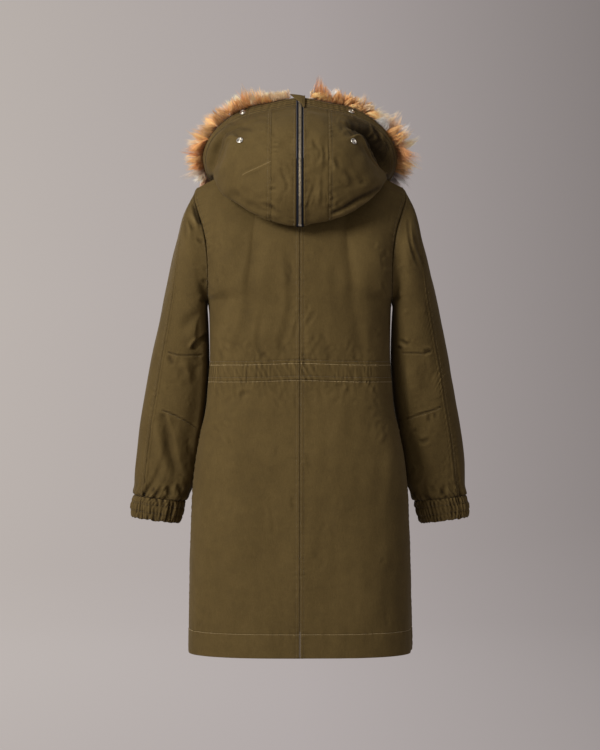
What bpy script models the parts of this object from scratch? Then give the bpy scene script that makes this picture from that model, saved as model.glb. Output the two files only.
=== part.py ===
"""Thigh-length hooded parka as worn, hollow and empty, with its fur-trimmed hood down.

The origin is on the centre plane at the shoulder line, where the wearer holds the garment. +Z is up, the front
faces -Y and the wearer's left is +X. Every cloth panel is a wall whose outer face lies on one of three surfaces:
the torso, a sleeve or the hood. Each surface is worked out from a short table of its sections.
"""

import math

import bmesh
import bpy
import numpy as np

MM = 0.001
WALL = 2.5 * MM  # shell cloth, interlining and lining together
SEAM_GAP = 0.3 * MM
STEP = 1e-3  # parameter step for tangents

UPPER_ROWS = 9  # rows of the torso panels from the underarm to the shoulder
LOWER_ROWS = 10  # rows from the hem to the underarm
SLEEVE_ROWS = 16

ZIP_HALF = 6.8 * MM  # half width of the slot that each zip fills
ZIP_THICK = 1.8 * MM
STUD_RADIUS = 6.8 * MM
STUD_HEIGHT = 2.2 * MM
FUR_REACH_CENTRE = 21 * MM  # how far the fur stands beyond the hood's edge beside the zip
FUR_REACH_SIDE = 34 * MM  # the same from this hood section on
FUR_FULL_SECTION = 3.5
FUR_HALF_DEPTH = 14 * MM
FUR_SPLAY = 0.45  # how far the fur leans out from the cloth's own direction at the rim
FUR_GAP = 1.2 * MM
FUR_START = 0.36  # hood section where each fur strip begins beside the zip
FUR_START_ROOM = 0.1  # least step from there to the next row of the strip
FUR_SIDES = 10
CUFF_ROWS = 3
CUFF_SIDES = 24

PULL_LENGTH = 26 * MM
PULL_WIDTH = 6 * MM
PULL_THICK = 1.6 * MM
EYE_OUTER = 2.2 * MM  # radius of the pull's eye
PULL_PIN_RADIUS = 0.9 * MM
TONGUE_DROP = 0.9 * MM  # the tab's wide part starts this far below its eye, clear of the slider's ears
TONGUE_LIFT = 0.3 * MM
TONGUE_NECK_SINK = 0.6 * MM  # how far the neck runs into the wide part
SLIDER_LENGTH = 11 * MM
SLIDER_WIDTH = 9 * MM
SLIDER_THICK = 2.4 * MM
CHEEK_WIDTH = 1.2 * MM  # the two ears on the slider that carry the pull's pin
CHEEK_LENGTH = 4.4 * MM
CHEEK_HEIGHT = 4.4 * MM
CHEEK_SINK = 0.2 * MM
PIN_AHEAD = 2 * MM  # how far above the slider's middle the pin sits
FRONT_SLIDER_UP = 1.90  # the front slider's place on the torso, between the underarm (1) and the neck (2)
HOOD_SLIDER_WIDTH = 7.5 * MM
HOOD_SLIDER_LENGTH = 9 * MM
STOP_WIDTH = 6.5 * MM
STOP_LENGTH = 4.5 * MM
STOP_THICK = 1.6 * MM
STOP_SINK = 0.3 * MM  # the tape's facets lie this much below its curve at the fold

OLIVE = (0.075, 0.052, 0.020)
NAVY = (0.012, 0.014, 0.022)
NICKEL = (0.62, 0.61, 0.58)
FUR_ORANGE = (0.52, 0.30, 0.16)


def table(names, *rows):
    """Columns by name, in metres, from rows in millimetres."""
    return dict(zip(names.split(), np.array(rows, float).T * MM))


# Torso sections from the hem up to the underarm.
TORSO = table(
    "height half_width back front",
    (-907, 216.5, 149, 153),
    (-790, 215.5, 147, 151),
    (-670, 212.5, 144, 148),
    (-583, 208.5, 139, 145),
    (-538, 203.5, 136, 142),
    (-484, 194.0, 131, 138),
    (-435, 184.0, 126, 132),
    (-385, 179.5, 121, 127),
    (-352, 176.8, 121, 127),
    (-290, 176.5, 127, 132),
    (-226, 178.0, 131, 136),
)
SQUARENESS = 2.85  # exponent of the torso's sections: 2 is an ellipse

# Centre lines above the underarm, to the neck seam.
BACK_CENTRE = table("y z", (131, -226), (132, -165), (127, -105), (112, -48), (92, 0), (73, 32))
FRONT_CENTRE = table("y z", (-136, -226), (-138, -190), (-131, -145), (-118, -100), (-98, -45))

# Armhole seams, from the underarm point to the shoulder point.
BACK_ARMHOLE = table(
    "x y z",
    (178, 0, -226),
    (178, 42, -218),
    (177.5, 66, -190),
    (178, 76, -152),
    (181, 73, -119),
    (187, 63, -88),
    (197, 43, -56),
    (206, 16, -24),
    (203, -5, -6),
)
FRONT_ARMHOLE = table(
    "x y z",
    (178, 0, -226),
    (177, -38, -219),
    (172, -64, -195),
    (168, -74, -158),
    (169, -75, -120),
    (178, -66, -84),
    (193, -43, -47),
    (204, -22, -18),
    (203, -5, -6),
)
SHOULDER_POINT = np.array((203, -5, -6)) * MM
NECK_POINT = np.array((78, -2, 49)) * MM
NECK_SHARE = 0.4  # share of each panel's top edge that is neckline

# Sleeve sections: the outer and inner ends of each, its half depth and the y of its middle.
SLEEVE = table(
    "outer_x outer_z inner_x inner_z half_depth middle_y",
    (223, -49, 180.5, -238, 80, -4),
    (238.5, -107, 179, -252, 82, -8),
    (251, -154, 178, -272, 83, -14),
    (263, -201, 177.3, -296, 82, -21),
    (273.5, -250, 176.8, -326, 81, -28),
    (284, -300, 177.2, -358, 79, -36),
    (293.5, -345, 178.8, -390, 77, -43),
    (301.5, -390, 181.5, -424, 75, -49),
    (309.5, -435, 187.5, -462, 72, -54),
    (317, -482, 195.5, -505, 68, -59),
    (323, -528, 202, -548, 64, -63),
    (327, -570, 208.5, -582, 60, -66),
    (328, -607, 226.5, -619, 55, -68),
)
CUFF = table(
    "outer_x outer_z inner_x inner_z half_depth middle_y",
    (328, -607, 226.5, -619, 55, -68),
    (333, -629, 232, -642, 51, -70),
    (333.5, -650, 238, -663, 47, -72),
)
SLEEVE_ROUNDNESS = 2.2
BACK_SEAM_AT_ARMHOLE = 4 / 9  # turns round the sleeve from its underside, through the back
BACK_SEAM_AT_CUFF = 0.35
FRONT_SEAM = 8 / 9

# The hood's outer face. Each line runs round the hood from the centre back (row 0) to the centre front (row 9).
# From the neck seam the cloth stands, rolls under, turns at the pouch's lowest fold, climbs over the belly to the side ridge,
# dips into the valley and ends with the brim band at the rim.
HOOD = {
    "stand": table(
        "x y z",
        (0, 84, 42), (38, 77, 48), (62, 58, 56), (76, 38, 62), (84, 22, 65), (88, 8, 66), (89, -6, 64),
        (87, -24, 58), (62, -82, 12), (7, -106, -31),
    ),
    "under": table(
        "x y z",
        (0, 121, -50), (50, 115, -38), (82, 103, -24), (106, 88, -8), (124, 71, 6), (134, 53, 16),
        (138, 30, 24), (112, -20, 46), (74, -92, 15), (8, -112, -24),
    ),
    "fold": table(
        "x y z",
        (0, 152, -90), (54, 147, -79), (94, 136, -61), (125, 115, -41), (146, 93, -24), (158, 68, -8),
        (160, 40, 6), (134, -24, 34), (84, -99, 14), (9, -117, -18),
    ),
    "low": table(
        "x y z",
        (0, 180, -45), (54, 174, -38), (98, 158, -24), (132, 133, -12), (151, 103, -5), (162, 76, 4),
        (166, 48, 7), (142, -30, 28), (92, -104, 11), (10, -121, -13),
    ),
    "belly": table(
        "x y z",
        (0, 178, 15), (54, 172, 16), (100, 154, 20), (135, 130, 22), (152, 101, 20), (162, 74, 16),
        (167, 46, 16), (149, -36, 24), (99, -108, 8), (11, -125, -9),
    ),
    "ridge": table(
        "x y z",
        (0, 148, 82), (54, 143, 78), (100, 128, 73), (137, 102, 82), (147, 84, 57), (158, 62, 33),
        (165, 32, 22), (155, -42, 20), (106, -111, 5), (12, -128, -5),
    ),
    "valley": table(
        "x y z",
        (0, 92, 128), (54, 90, 120), (99, 80, 111), (146, 56, 94), (158, 36, 70), (166, 22, 43), (171, 8, 25),
        (161, -48, 17), (113, -114, 2), (12.5, -131, -1),
    ),
    "brim": table(
        "x y z",
        (0, 46, 151), (54, 46, 142), (98, 40, 133), (143, 30, 113), (174, 18, 83), (184, 4, 54),
        (182, -20, 28), (169, -62, 12), (122, -118, 0), (13, -135, 4),
    ),
    "rim": table(
        "x y z",
        (0, 30, 168), (54, 30, 158), (98, 25, 149), (143, 12, 127), (175, -4, 95), (190, -20, 62),
        (187, -42, 33), (176, -74, 12), (132, -124, 2), (14, -142, 14),
    ),
}
NECK_LINE = 0
FOLD_LINE = 3
BRIM_LINE = 8
RIM_LINE = 9
ABOVE_FOLD_LINES = np.concatenate([(3, 3.25, 3.6), np.linspace(4, BRIM_LINE, 8)])  # closer rows where the cloth turns
CENTRE_PANEL_END = 1  # the centre panel ends at this section
COLLAR_START = 7  # from this section on the hood is a plain stand round the neck
HOOD_END = 9
NECK_ANGLES = (0, 28, 50, 66, 78, 88, 96, 104, 140, 176)  # degrees round the neckline at each hood section
NECK_STAND_GAP = 0.8 * MM  # the hood's neck edge stands this far above the torso's

# On the wearer's right the side ridge runs further in, so the valley beside it is wider and deeper.
RIGHT_RIDGE_IN = table(
    "ridge valley belly",
    (0, 0, 0), (0, 0, 0), (8, 3, 2), (26, 12, 8), (20, 10, 7), (12, 7, 5), (1, 1, 1), (0, 0, 0), (0, 0, 0), (0, 0, 0),
)
RIGHT_VALLEY_DEEPER = 7 * MM

# Hood section and hood line of each stud, and how far it stands off the curved surface. The cloth's facets lie
# a little inside that surface, by more at the lower studs.
STUDS = {
    "left": {"stud_upper": (2.27, 8.62, 0.3), "stud_lower": (2.35, 5.96, -1.0)},
    "right": {"stud_upper": (2.03, 8.5, 0.3), "stud_lower": (2.42, 5.9, -0.2)},
}
HOOD_ZIP_TOP = 8.93
HOOD_ZIP_SEAT = 0.5 * MM  # the slider's clearance above the teeth
HOOD_SLIDER_LINE = 8.5

# The tab over the top of the hood zip is a triangle, point down, whose wearer's left corner stands above the rim.
TAB_TIP_LINE = 7.95
TAB_TIP_LEFT = -5.5 * MM
TAB_TIP_RIGHT = -9 * MM
TAB_TOP_LEFT = 15.5 * MM
TAB_TOP_RIGHT = -10 * MM
TAB_RISE = 6 * MM
TAB_THICK = 1.6 * MM


def curve(points, at):
    """Points on the smooth curve through points (..., n, 3) at these knot numbers, with chord-length tangents."""
    chords = np.diff(points, axis=-2)
    lengths = np.linalg.norm(chords, axis=-1, keepdims=True) + 1e-9
    slopes = chords / lengths
    inner = (lengths[..., 1:, :] * slopes[..., :-1, :] + lengths[..., :-1, :] * slopes[..., 1:, :]) / (
        lengths[..., 1:, :] + lengths[..., :-1, :]
    )
    tangents = np.concatenate([slopes[..., :1, :], inner, slopes[..., -1:, :]], axis=-2)
    last = points.shape[-2] - 2
    index = np.clip(np.floor(at).astype(int), 0, last)
    share = (at - index)[..., None]

    def pick(values, offset=0):
        shape = index.shape + values.shape[-2:]
        chosen = np.broadcast_to(values, shape)
        return np.take_along_axis(chosen, (index + offset)[..., None, None], axis=-2)[..., 0, :]

    length = pick(lengths)
    start, end = pick(points), pick(points, 1)
    start_pull, end_pull = pick(tangents) * length, pick(tangents, 1) * length
    square, cube = share**2, share**3
    return (
        (2 * cube - 3 * square + 1) * start
        + (cube - 2 * square + share) * start_pull
        + (3 * square - 2 * cube) * end
        + (cube - square) * end_pull
    )


def column(rows, name, key, at):
    """One column of a table at these values of its key column, smoothly."""
    keys = rows[key]
    number = np.interp(at, keys, np.arange(len(keys)))
    points = np.stack([keys, rows[name], np.zeros(len(keys))], axis=-1)
    return curve(points, number)[..., 1]


def rail(rows, share):
    """Points along a table of x, y, z (or y, z) rows, with share running from 0 to 1."""
    count = len(rows["z"])
    points = np.stack([rows.get("x", np.zeros(count)), rows["y"], rows["z"]], axis=-1)
    return curve(points, share * (count - 1))


def unit(vectors):
    return vectors / np.linalg.norm(vectors, axis=-1, keepdims=True)


def quarter_section(half_width, depth, across):
    """x and y on a torso section, with across running along the cloth from the centre line to the side seam."""
    angle = np.linspace(0, math.pi / 2, 91)
    x = half_width[..., None] * np.sin(angle) ** (2 / SQUARENESS)
    y = depth[..., None] * np.cos(angle) ** (2 / SQUARENESS)
    steps = np.hypot(np.diff(x), np.diff(y))
    length = np.concatenate([np.zeros_like(steps[..., :1]), np.cumsum(steps, axis=-1)], axis=-1)
    wanted = across * length[..., -1]
    flat = [np.interp(w, l, v) for w, l, v in zip(np.ravel(wanted), length.reshape(-1, 91), x.reshape(-1, 91))]
    deep = [np.interp(w, l, v) for w, l, v in zip(np.ravel(wanted), length.reshape(-1, 91), y.reshape(-1, 91))]
    return np.reshape(flat, across.shape), np.reshape(deep, across.shape)


def neckline(turn, back):
    """A point of the neck seam: turn runs from the centre line (0) to the neck point (1)."""
    angle = turn * math.pi / 2
    centre = rail(BACK_CENTRE if back else FRONT_CENTRE, np.ones_like(turn))
    x = NECK_POINT[0] * np.sin(angle)
    y = NECK_POINT[1] + (centre[..., 1] - NECK_POINT[1]) * np.cos(angle)
    drop = np.cos(angle) ** (2 if back else 1.3)
    z = NECK_POINT[2] + (centre[..., 2] - NECK_POINT[2]) * drop
    return np.stack([x, y, z], axis=-1)


def top_edge(across, back):
    neck = neckline(np.clip(across / NECK_SHARE, 0, 1), back)
    along = np.clip((across - NECK_SHARE) / (1 - NECK_SHARE), 0, 1)[..., None]
    shoulder = NECK_POINT + (SHOULDER_POINT - NECK_POINT) * along
    shoulder[..., 2] += 3 * MM * np.sin(along[..., 0] * math.pi)
    return np.where(across[..., None] < NECK_SHARE, neck, shoulder)


def torso(across, up, back):
    """A point of the torso on the wearer's left. up runs from the hem (0) by the underarm (1) to the top (2)."""
    depth_column = "back" if back else "front"
    centre_line = BACK_CENTRE if back else FRONT_CENTRE
    armhole_line = BACK_ARMHOLE if back else FRONT_ARMHOLE
    height = TORSO["height"][0] + (TORSO["height"][-1] - TORSO["height"][0]) * np.clip(up, 0, 1)
    half_width = column(TORSO, "half_width", "height", height)
    depth = column(TORSO, depth_column, "height", height)
    x, y = quarter_section(half_width, depth, across)
    lower = np.stack([x, y if back else -y, height], axis=-1)
    rise = np.clip(up - 1, 0, 1)
    share = rise[..., None]
    chest_x, chest_y = quarter_section(
        np.full_like(across, TORSO["half_width"][-1]), np.full_like(across, TORSO[depth_column][-1]), across
    )
    chest = np.stack([chest_x, chest_y if back else -chest_y, np.full_like(across, TORSO["height"][-1])], axis=-1)
    straight = chest * (1 - share) + top_edge(across, back) * share
    centre_bulge = bulge(centre_line, rise)
    side_bulge = bulge(armhole_line, rise)
    sideways = (np.sin(across * math.pi / 2) ** 2)[..., None]
    upper = straight + centre_bulge * (1 - sideways) + side_bulge * sideways
    return np.where(up[..., None] > 1, upper, lower)


def bulge(rows, share):
    """How far a rail stands off the straight line between its two ends."""
    first = rail(rows, np.zeros_like(share))
    last = rail(rows, np.ones_like(share))
    return rail(rows, share) - (first * (1 - share[..., None]) + last * share[..., None])


def ring_point(rows, turn):
    """Points of every section in a sleeve table at this turn round it, which starts at the inner end."""
    outer = np.stack([rows["outer_x"], rows["middle_y"], rows["outer_z"]], axis=-1)
    inner = np.stack([rows["inner_x"], rows["middle_y"], rows["inner_z"]], axis=-1)
    angle = (2 * math.pi * turn)[..., None, None]
    power = 2 / SLEEVE_ROUNDNESS
    across = -np.sign(np.cos(angle)) * np.abs(np.cos(angle)) ** power
    deep = np.sign(np.sin(angle)) * np.abs(np.sin(angle)) ** power
    half_depth = rows["half_depth"][:, None] * np.array((0, 1, 0))
    return (outer + inner) / 2 + (outer - inner) / 2 * across + half_depth * deep


def armhole_loop(turn):
    """The armhole seam, at turns from the underarm (0) up the back to the shoulder (0.5) and down the front (1)."""
    turn = np.mod(turn, 1)
    behind = rail(BACK_ARMHOLE, np.clip(2 * turn, 0, 1))
    before = rail(FRONT_ARMHOLE, np.clip(2 - 2 * turn, 0, 1))
    return np.where(turn[..., None] <= 0.5, behind, before)


def warped(turn, down):
    """Turns the sleeve's grid so that its back seam moves from the shoulder towards the elbow."""
    ease = np.clip(down * 3, 0, 1)
    seam = BACK_SEAM_AT_ARMHOLE + (BACK_SEAM_AT_CUFF - BACK_SEAM_AT_ARMHOLE) * ease**2 * (3 - 2 * ease)
    before = turn * seam / BACK_SEAM_AT_ARMHOLE
    after = seam + (turn - BACK_SEAM_AT_ARMHOLE) * (FRONT_SEAM - seam) / (FRONT_SEAM - BACK_SEAM_AT_ARMHOLE)
    return np.where(turn < 0, turn, np.where(turn <= BACK_SEAM_AT_ARMHOLE, before, after))


def sleeve(turn, down):
    """A point of the wearer's left sleeve: down runs from the armhole (0) to the cuff seam (1)."""
    turn = warped(turn, down)
    start = armhole_loop(turn)[..., None, :]
    points = np.concatenate([start, ring_point(SLEEVE, turn)], axis=-2)
    return curve(points, down * (points.shape[-2] - 1))


def cuff(turn, down):
    return curve(ring_point(CUFF, turn), down * (len(CUFF["outer_x"]) - 1))


def hood_sections(left):
    """Every hood section as points (section, line, 3), the neck seam first."""
    neck = []
    for degrees in NECK_ANGLES:
        turn = min(degrees, 180 - degrees) / 90
        neck.append(neckline(np.array(turn), degrees <= 90) + np.array((0, 0, NECK_STAND_GAP)))
    lines = {name: np.stack([rows["x"], rows["y"], rows["z"]], axis=-1) for name, rows in HOOD.items()}
    if not left:
        for name in ("ridge", "valley", "belly"):
            lines[name][:, 0] -= RIGHT_RIDGE_IN[name]
        lines["valley"][:, 1] -= RIGHT_VALLEY_DEEPER * RIGHT_RIDGE_IN["valley"] / RIGHT_RIDGE_IN["valley"].max()
    return np.stack([np.array(neck), *lines.values()], axis=1)


def hood_surface(left):
    """The hood's outer face as a function of section and line numbers, mirrored at the centre back."""
    sections = hood_sections(left)
    sections = np.concatenate([sections[1:2] * np.array((-1, 1, 1)), sections])

    def surface(section, line):
        along = curve(sections, line[..., None] + np.zeros(len(sections)))
        return curve(along, section + 1)

    return surface


def normals(surface, first, second, sign, first_range, second_range):
    """Unit normals of a surface at a grid of its two parameters, from differences kept inside their ranges."""
    ahead = np.clip(first + STEP, *first_range)
    behind = np.clip(first - STEP, *first_range)
    above = np.clip(second + STEP, *second_range)
    below = np.clip(second - STEP, *second_range)
    run = surface(ahead, second) - surface(behind, second)
    rise = surface(first, above) - surface(first, below)
    return sign * unit(np.cross(run, rise))


def pulled(points, low_first=0.0, high_first=0.0, low_second=0.0, high_second=0.0):
    """Moves a grid's edges in along the cloth by these lengths, which leaves the gaps at its seams."""
    points = points.copy()
    points[0] += unit(points[1] - points[0]) * low_first
    points[-1] += unit(points[-2] - points[-1]) * high_first
    points[:, 0] += unit(points[:, 1] - points[:, 0]) * low_second
    points[:, -1] += unit(points[:, -2] - points[:, -1]) * high_second
    return points


def finish(name, colour, roughness, metallic=0.0):
    material = bpy.data.materials.get(name) or bpy.data.materials.new(name)
    material.use_nodes = True
    shader = material.node_tree.nodes["Principled BSDF"]
    shader.inputs["Base Color"].default_value = (*colour, 1)
    shader.inputs["Roughness"].default_value = roughness
    shader.inputs["Metallic"].default_value = metallic
    return material


def place(name, points, faces, material, origin=(0, 0, 0)):
    """A new object with this mesh, its normals turned out."""
    mesh = bpy.data.meshes.new(name)
    mesh.from_pydata([tuple(p) for p in np.asarray(points) - np.array(origin)], [], faces)
    work = bmesh.new()
    work.from_mesh(mesh)
    bmesh.ops.recalc_face_normals(work, faces=work.faces)
    work.to_mesh(mesh)
    work.free()
    mesh.materials.append(material)
    mesh.shade_smooth()
    mesh.set_sharp_from_angle(angle=math.radians(40))
    piece = bpy.data.objects.new(name, mesh)
    piece.location = origin
    bpy.context.scene.collection.objects.link(piece)
    return piece


def wall(name, outer, outward, thickness, material, side=1):
    """A closed cloth wall: a grid of outer points, and the same grid moved in along its normals."""
    rows, columns = outer.shape[:2]
    inner = outer - outward * thickness
    points = np.concatenate([outer.reshape(-1, 3), inner.reshape(-1, 3)]) * np.array((side, 1, 1))

    def at(row, col, layer=0):
        return layer * rows * columns + row * columns + col

    faces = []
    for row in range(rows - 1):
        for col in range(columns - 1):
            faces.append((at(row, col), at(row, col + 1), at(row + 1, col + 1), at(row + 1, col)))
            faces.append((at(row, col, 1), at(row + 1, col, 1), at(row + 1, col + 1, 1), at(row, col + 1, 1)))
    for row in range(rows - 1):
        for col in (0, columns - 1):
            faces.append((at(row, col), at(row + 1, col), at(row + 1, col, 1), at(row, col, 1)))
    for col in range(columns - 1):
        for row in (0, rows - 1):
            faces.append((at(row, col), at(row, col + 1), at(row, col + 1, 1), at(row, col, 1)))
    return place(name, points, faces, material)


def ring_wall(name, outer, outward, thickness, material, side=1):
    """A closed wall right round: outer points (row, turn, 3), whose last turn joins its first."""
    rows, turns = outer.shape[:2]
    inner = outer - outward * thickness
    points = np.concatenate([outer.reshape(-1, 3), inner.reshape(-1, 3)]) * np.array((side, 1, 1))

    def at(row, turn, layer=0):
        return layer * rows * turns + row * turns + turn % turns

    faces = []
    for turn in range(turns):
        for row in range(rows - 1):
            for layer in (0, 1):
                faces.append((at(row, turn, layer), at(row, turn + 1, layer), at(row + 1, turn + 1, layer),
                              at(row + 1, turn, layer)))
        for row in (0, rows - 1):
            faces.append((at(row, turn), at(row, turn + 1), at(row, turn + 1, 1), at(row, turn, 1)))
    return place(name, points, faces, material)


def make_body(side, name_side, cloth):
    """Back, front and the two sleeve pieces of one side, which share their normals at the seams between them."""
    neck = np.linspace(0, NECK_SHARE, 5)
    across = np.concatenate([neck, np.linspace(NECK_SHARE, 1, 6)[1:]])
    up = np.concatenate([np.linspace(0, 1, LOWER_ROWS + 1), 1 + np.linspace(0, 1, UPPER_ROWS + 1)[1:]])
    grid = np.meshgrid(across, up, indexing="ij")
    shapes, faces_out = {}, {}
    for piece in ("back", "front"):
        def surface(a, b, back=piece == "back"):
            return torso(a, b, back)
        shapes[piece] = surface(*grid)
        sign = -1 if piece == "back" else 1
        faces_out[piece] = normals(surface, *grid, sign, (0, 1), (0, 2))
    turns = np.concatenate([FRONT_SEAM - 1 + np.arange(2) / (2 * UPPER_ROWS),
                            np.arange(2 * UPPER_ROWS - 1) / (2 * UPPER_ROWS)])
    down = np.linspace(0, 1, SLEEVE_ROWS)
    sleeve_grid = np.meshgrid(turns, down, indexing="ij")
    sleeve_points = sleeve(*sleeve_grid)
    sleeve_out = normals(sleeve, *sleeve_grid, 1, (-1, 1), (0, 1))
    share_seams(faces_out, sleeve_out, neck)
    half = SEAM_GAP / 2
    zip_half = ZIP_HALF + SEAM_GAP / 2
    for piece in ("back", "front"):
        points = shapes[piece]
        inset = half if piece == "back" else zip_half
        points = pulled(points, inset, half, 0, half)
        if piece == "front":
            points[0, :, 0] = zip_half
        wall(f"{piece}_{name_side}", points, faces_out[piece], WALL, cloth, side)
    under = slice(0, 2 + UPPER_ROWS)
    over = slice(1 + UPPER_ROWS, None)
    for piece, part in (("sleeve_under", under), ("sleeve_top", over)):
        points = pulled(sleeve_points[part], half, half, half, half)
        wall(f"{piece}_{name_side}", points, sleeve_out[part], WALL, cloth, side)


def share_seams(faces_out, sleeve_out, neck):
    """Gives the panels that meet at the shoulder, side and armhole seams the same normals there."""
    back, front = faces_out["back"], faces_out["front"]
    neck_point = len(neck) - 1
    shoulder = unit(back[neck_point:, -1] + front[neck_point:, -1])
    back[neck_point:, -1] = shoulder
    front[neck_point:, -1] = shoulder
    side_seam = back[-1, : LOWER_ROWS + 1] + front[-1, : LOWER_ROWS + 1]
    side_seam[:, 1:] = 0
    side_seam = unit(side_seam)
    back[-1, : LOWER_ROWS + 1] = side_seam
    front[-1, : LOWER_ROWS + 1] = side_seam
    ring = sleeve_out[:, 0]
    for row in range(UPPER_ROWS + 1):
        behind = row + 2
        before = 2 * UPPER_ROWS - row + 2 if row > 2 else 2 - row
        torso_row = LOWER_ROWS + row
        meets_both = row in (0, UPPER_ROWS)
        backs = back[-1, torso_row] + (front[-1, torso_row] if meets_both else 0)
        fronts = front[-1, torso_row] + (back[-1, torso_row] if meets_both else 0)
        weight = 2 if meets_both else 1
        behind_normal = unit(backs + weight * ring[behind])
        before_normal = unit(fronts + weight * ring[before])
        back[-1, torso_row], ring[behind] = behind_normal, behind_normal
        front[-1, torso_row] = behind_normal if meets_both else before_normal
        if not meets_both:
            ring[before] = before_normal
    ring[-1] = ring[0]
    front_seam = unit(sleeve_out[0] + sleeve_out[-1])
    sleeve_out[0] = front_seam
    sleeve_out[-1] = front_seam


def make_cuff(side, name_side, cloth):
    turns = np.arange(CUFF_SIDES) / CUFF_SIDES
    down = np.linspace(0, 1, CUFF_ROWS)
    grid = np.meshgrid(down, turns, indexing="ij")

    def surface(row, turn):
        return cuff(turn, row)

    points = surface(*grid)
    outward = normals(surface, *grid, -1, (0, 1), (-1, 2))
    points = pulled(points, SEAM_GAP)
    ring_wall(f"cuff_{name_side}", points, outward, WALL, cloth, side)


def brim_sections():
    centre = np.linspace(0, CENTRE_PANEL_END, 4)
    return np.concatenate([centre, np.linspace(CENTRE_PANEL_END, COLLAR_START, 14)[1:],
                           np.linspace(COLLAR_START, HOOD_END, 5)[1:]])


def make_hood(side, name_side, cloth):
    """Centre and side panels and the brim band, cut from one surface on shared samples."""
    left = side > 0
    surface = hood_surface(left)
    half = SEAM_GAP / 2
    lines = np.concatenate([np.linspace(NECK_LINE, FOLD_LINE - 0.5, 5), ABOVE_FOLD_LINES])
    brim_lines = np.linspace(BRIM_LINE, RIM_LINE, 3)
    sections = brim_sections()
    centre_sections, side_sections = sections[:4], sections[3:]

    def panel(name, sections, on_lines, zip_edge, gaps):
        grid = np.meshgrid(sections, on_lines, indexing="ij")
        points = surface(*grid)
        outward = normals(surface, *grid, -1, (-1, HOOD_END), (0, RIM_LINE))
        points = pulled(points, *gaps)
        if zip_edge:
            outward[0, :, 0] = 0
            outward[0] = unit(outward[0])
            beside = np.clip((on_lines - (FOLD_LINE - 0.45)) / 0.3, 0, 1)
            points[0, :, 0] = half + ZIP_HALF * beside
        wall(name, points, outward, WALL, cloth, side)

    panel(f"hood_centre_{name_side}", centre_sections, lines, True, (0, half, 0, half))
    panel(f"hood_side_{name_side}", side_sections, lines, False, (half, 0, 0, half))
    panel(f"hood_brim_{name_side}", sections, brim_lines, True, (0, 0, half, 0))
    return surface


def make_fur(side, name_side, surface, fur):
    """The trim's plain solid: a rounded strip standing out from the rim."""
    sections = brim_sections()
    sections = np.concatenate([[FUR_START], sections[sections > FUR_START + FUR_START_ROOM]])
    rim = surface(sections, np.full_like(sections, RIM_LINE))
    inside = surface(sections, np.full_like(sections, RIM_LINE - 0.05))
    outward = normals(surface, sections, np.full_like(sections, RIM_LINE), -1, (-1, HOOD_END), (0, RIM_LINE))
    reach = unit(unit(rim - inside) + FUR_SPLAY * outward)
    across = unit(outward - reach * np.sum(outward * reach, axis=-1, keepdims=True))
    grown = np.clip(sections / FUR_FULL_SECTION, 0, 1)[:, None]
    half_reach = (FUR_REACH_CENTRE + (FUR_REACH_SIDE - FUR_REACH_CENTRE) * grown) / 2
    middle = rim - outward * WALL / 2 + reach * (half_reach + FUR_GAP)
    points = []
    for number in range(FUR_SIDES):
        angle = 2 * math.pi * number / FUR_SIDES
        points.append(middle + reach * half_reach * math.cos(angle) + across * FUR_HALF_DEPTH * math.sin(angle))
    points = np.stack(points, axis=1)
    count = len(sections)
    faces = []
    for row in range(count - 1):
        for number in range(FUR_SIDES):
            low, high = row * FUR_SIDES, (row + 1) * FUR_SIDES
            following = (number + 1) % FUR_SIDES
            faces.append((low + number, low + following, high + following, high + number))
    faces.append(tuple(range(FUR_SIDES)))
    faces.append(tuple((count - 1) * FUR_SIDES + number for number in range(FUR_SIDES)))
    place(f"fur_{name_side}", points.reshape(-1, 3) * np.array((side, 1, 1)), faces, fur)


def make_hood_zip(side, name_side, surface, tape):
    lines = np.concatenate([ABOVE_FOLD_LINES, (8.5, HOOD_ZIP_TOP)])
    edges = np.array((SEAM_GAP / 2, ZIP_HALF - SEAM_GAP / 2))
    grid = np.meshgrid(np.zeros(2), lines, indexing="ij")
    points = surface(*grid)
    outward = normals(surface, *grid, -1, (-1, HOOD_END), (0, RIM_LINE))
    points[..., 0] = edges[:, None]
    wall(f"hood_zip_{name_side}", points, outward, ZIP_THICK, tape, side)


def make_front_zip(side, name_side, tape):
    up = np.concatenate([np.linspace(0.02, 1, 9), 1 + np.linspace(0, 1, 6)[1:]])
    edges = np.array((SEAM_GAP / 2, ZIP_HALF - SEAM_GAP / 2))
    grid = np.meshgrid(np.zeros(2), up, indexing="ij")

    def surface(a, b):
        return torso(a, b, False)

    points = surface(*grid)
    outward = normals(surface, *np.meshgrid(np.full(2, 0.01), up, indexing="ij"), 1, (0, 1), (0, 2))
    outward[..., 0] = 0
    outward = unit(outward)
    points[..., 0] = edges[:, None]
    wall(f"front_zip_{name_side}", points, outward, ZIP_THICK, tape, side)


def frame_at(surface, section, line):
    """A point of the hood with its normal, and the way its sections climb there."""
    first, second = np.array([section]), np.array([line])
    point = surface(first, second)[0]
    outward = normals(surface, first, second, -1, (-1, HOOD_END), (0, RIM_LINE))[0]
    climb = surface(first, second + STEP)[0] - point
    climb = unit(climb - outward * np.dot(climb, outward))
    return point, outward, climb


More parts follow.
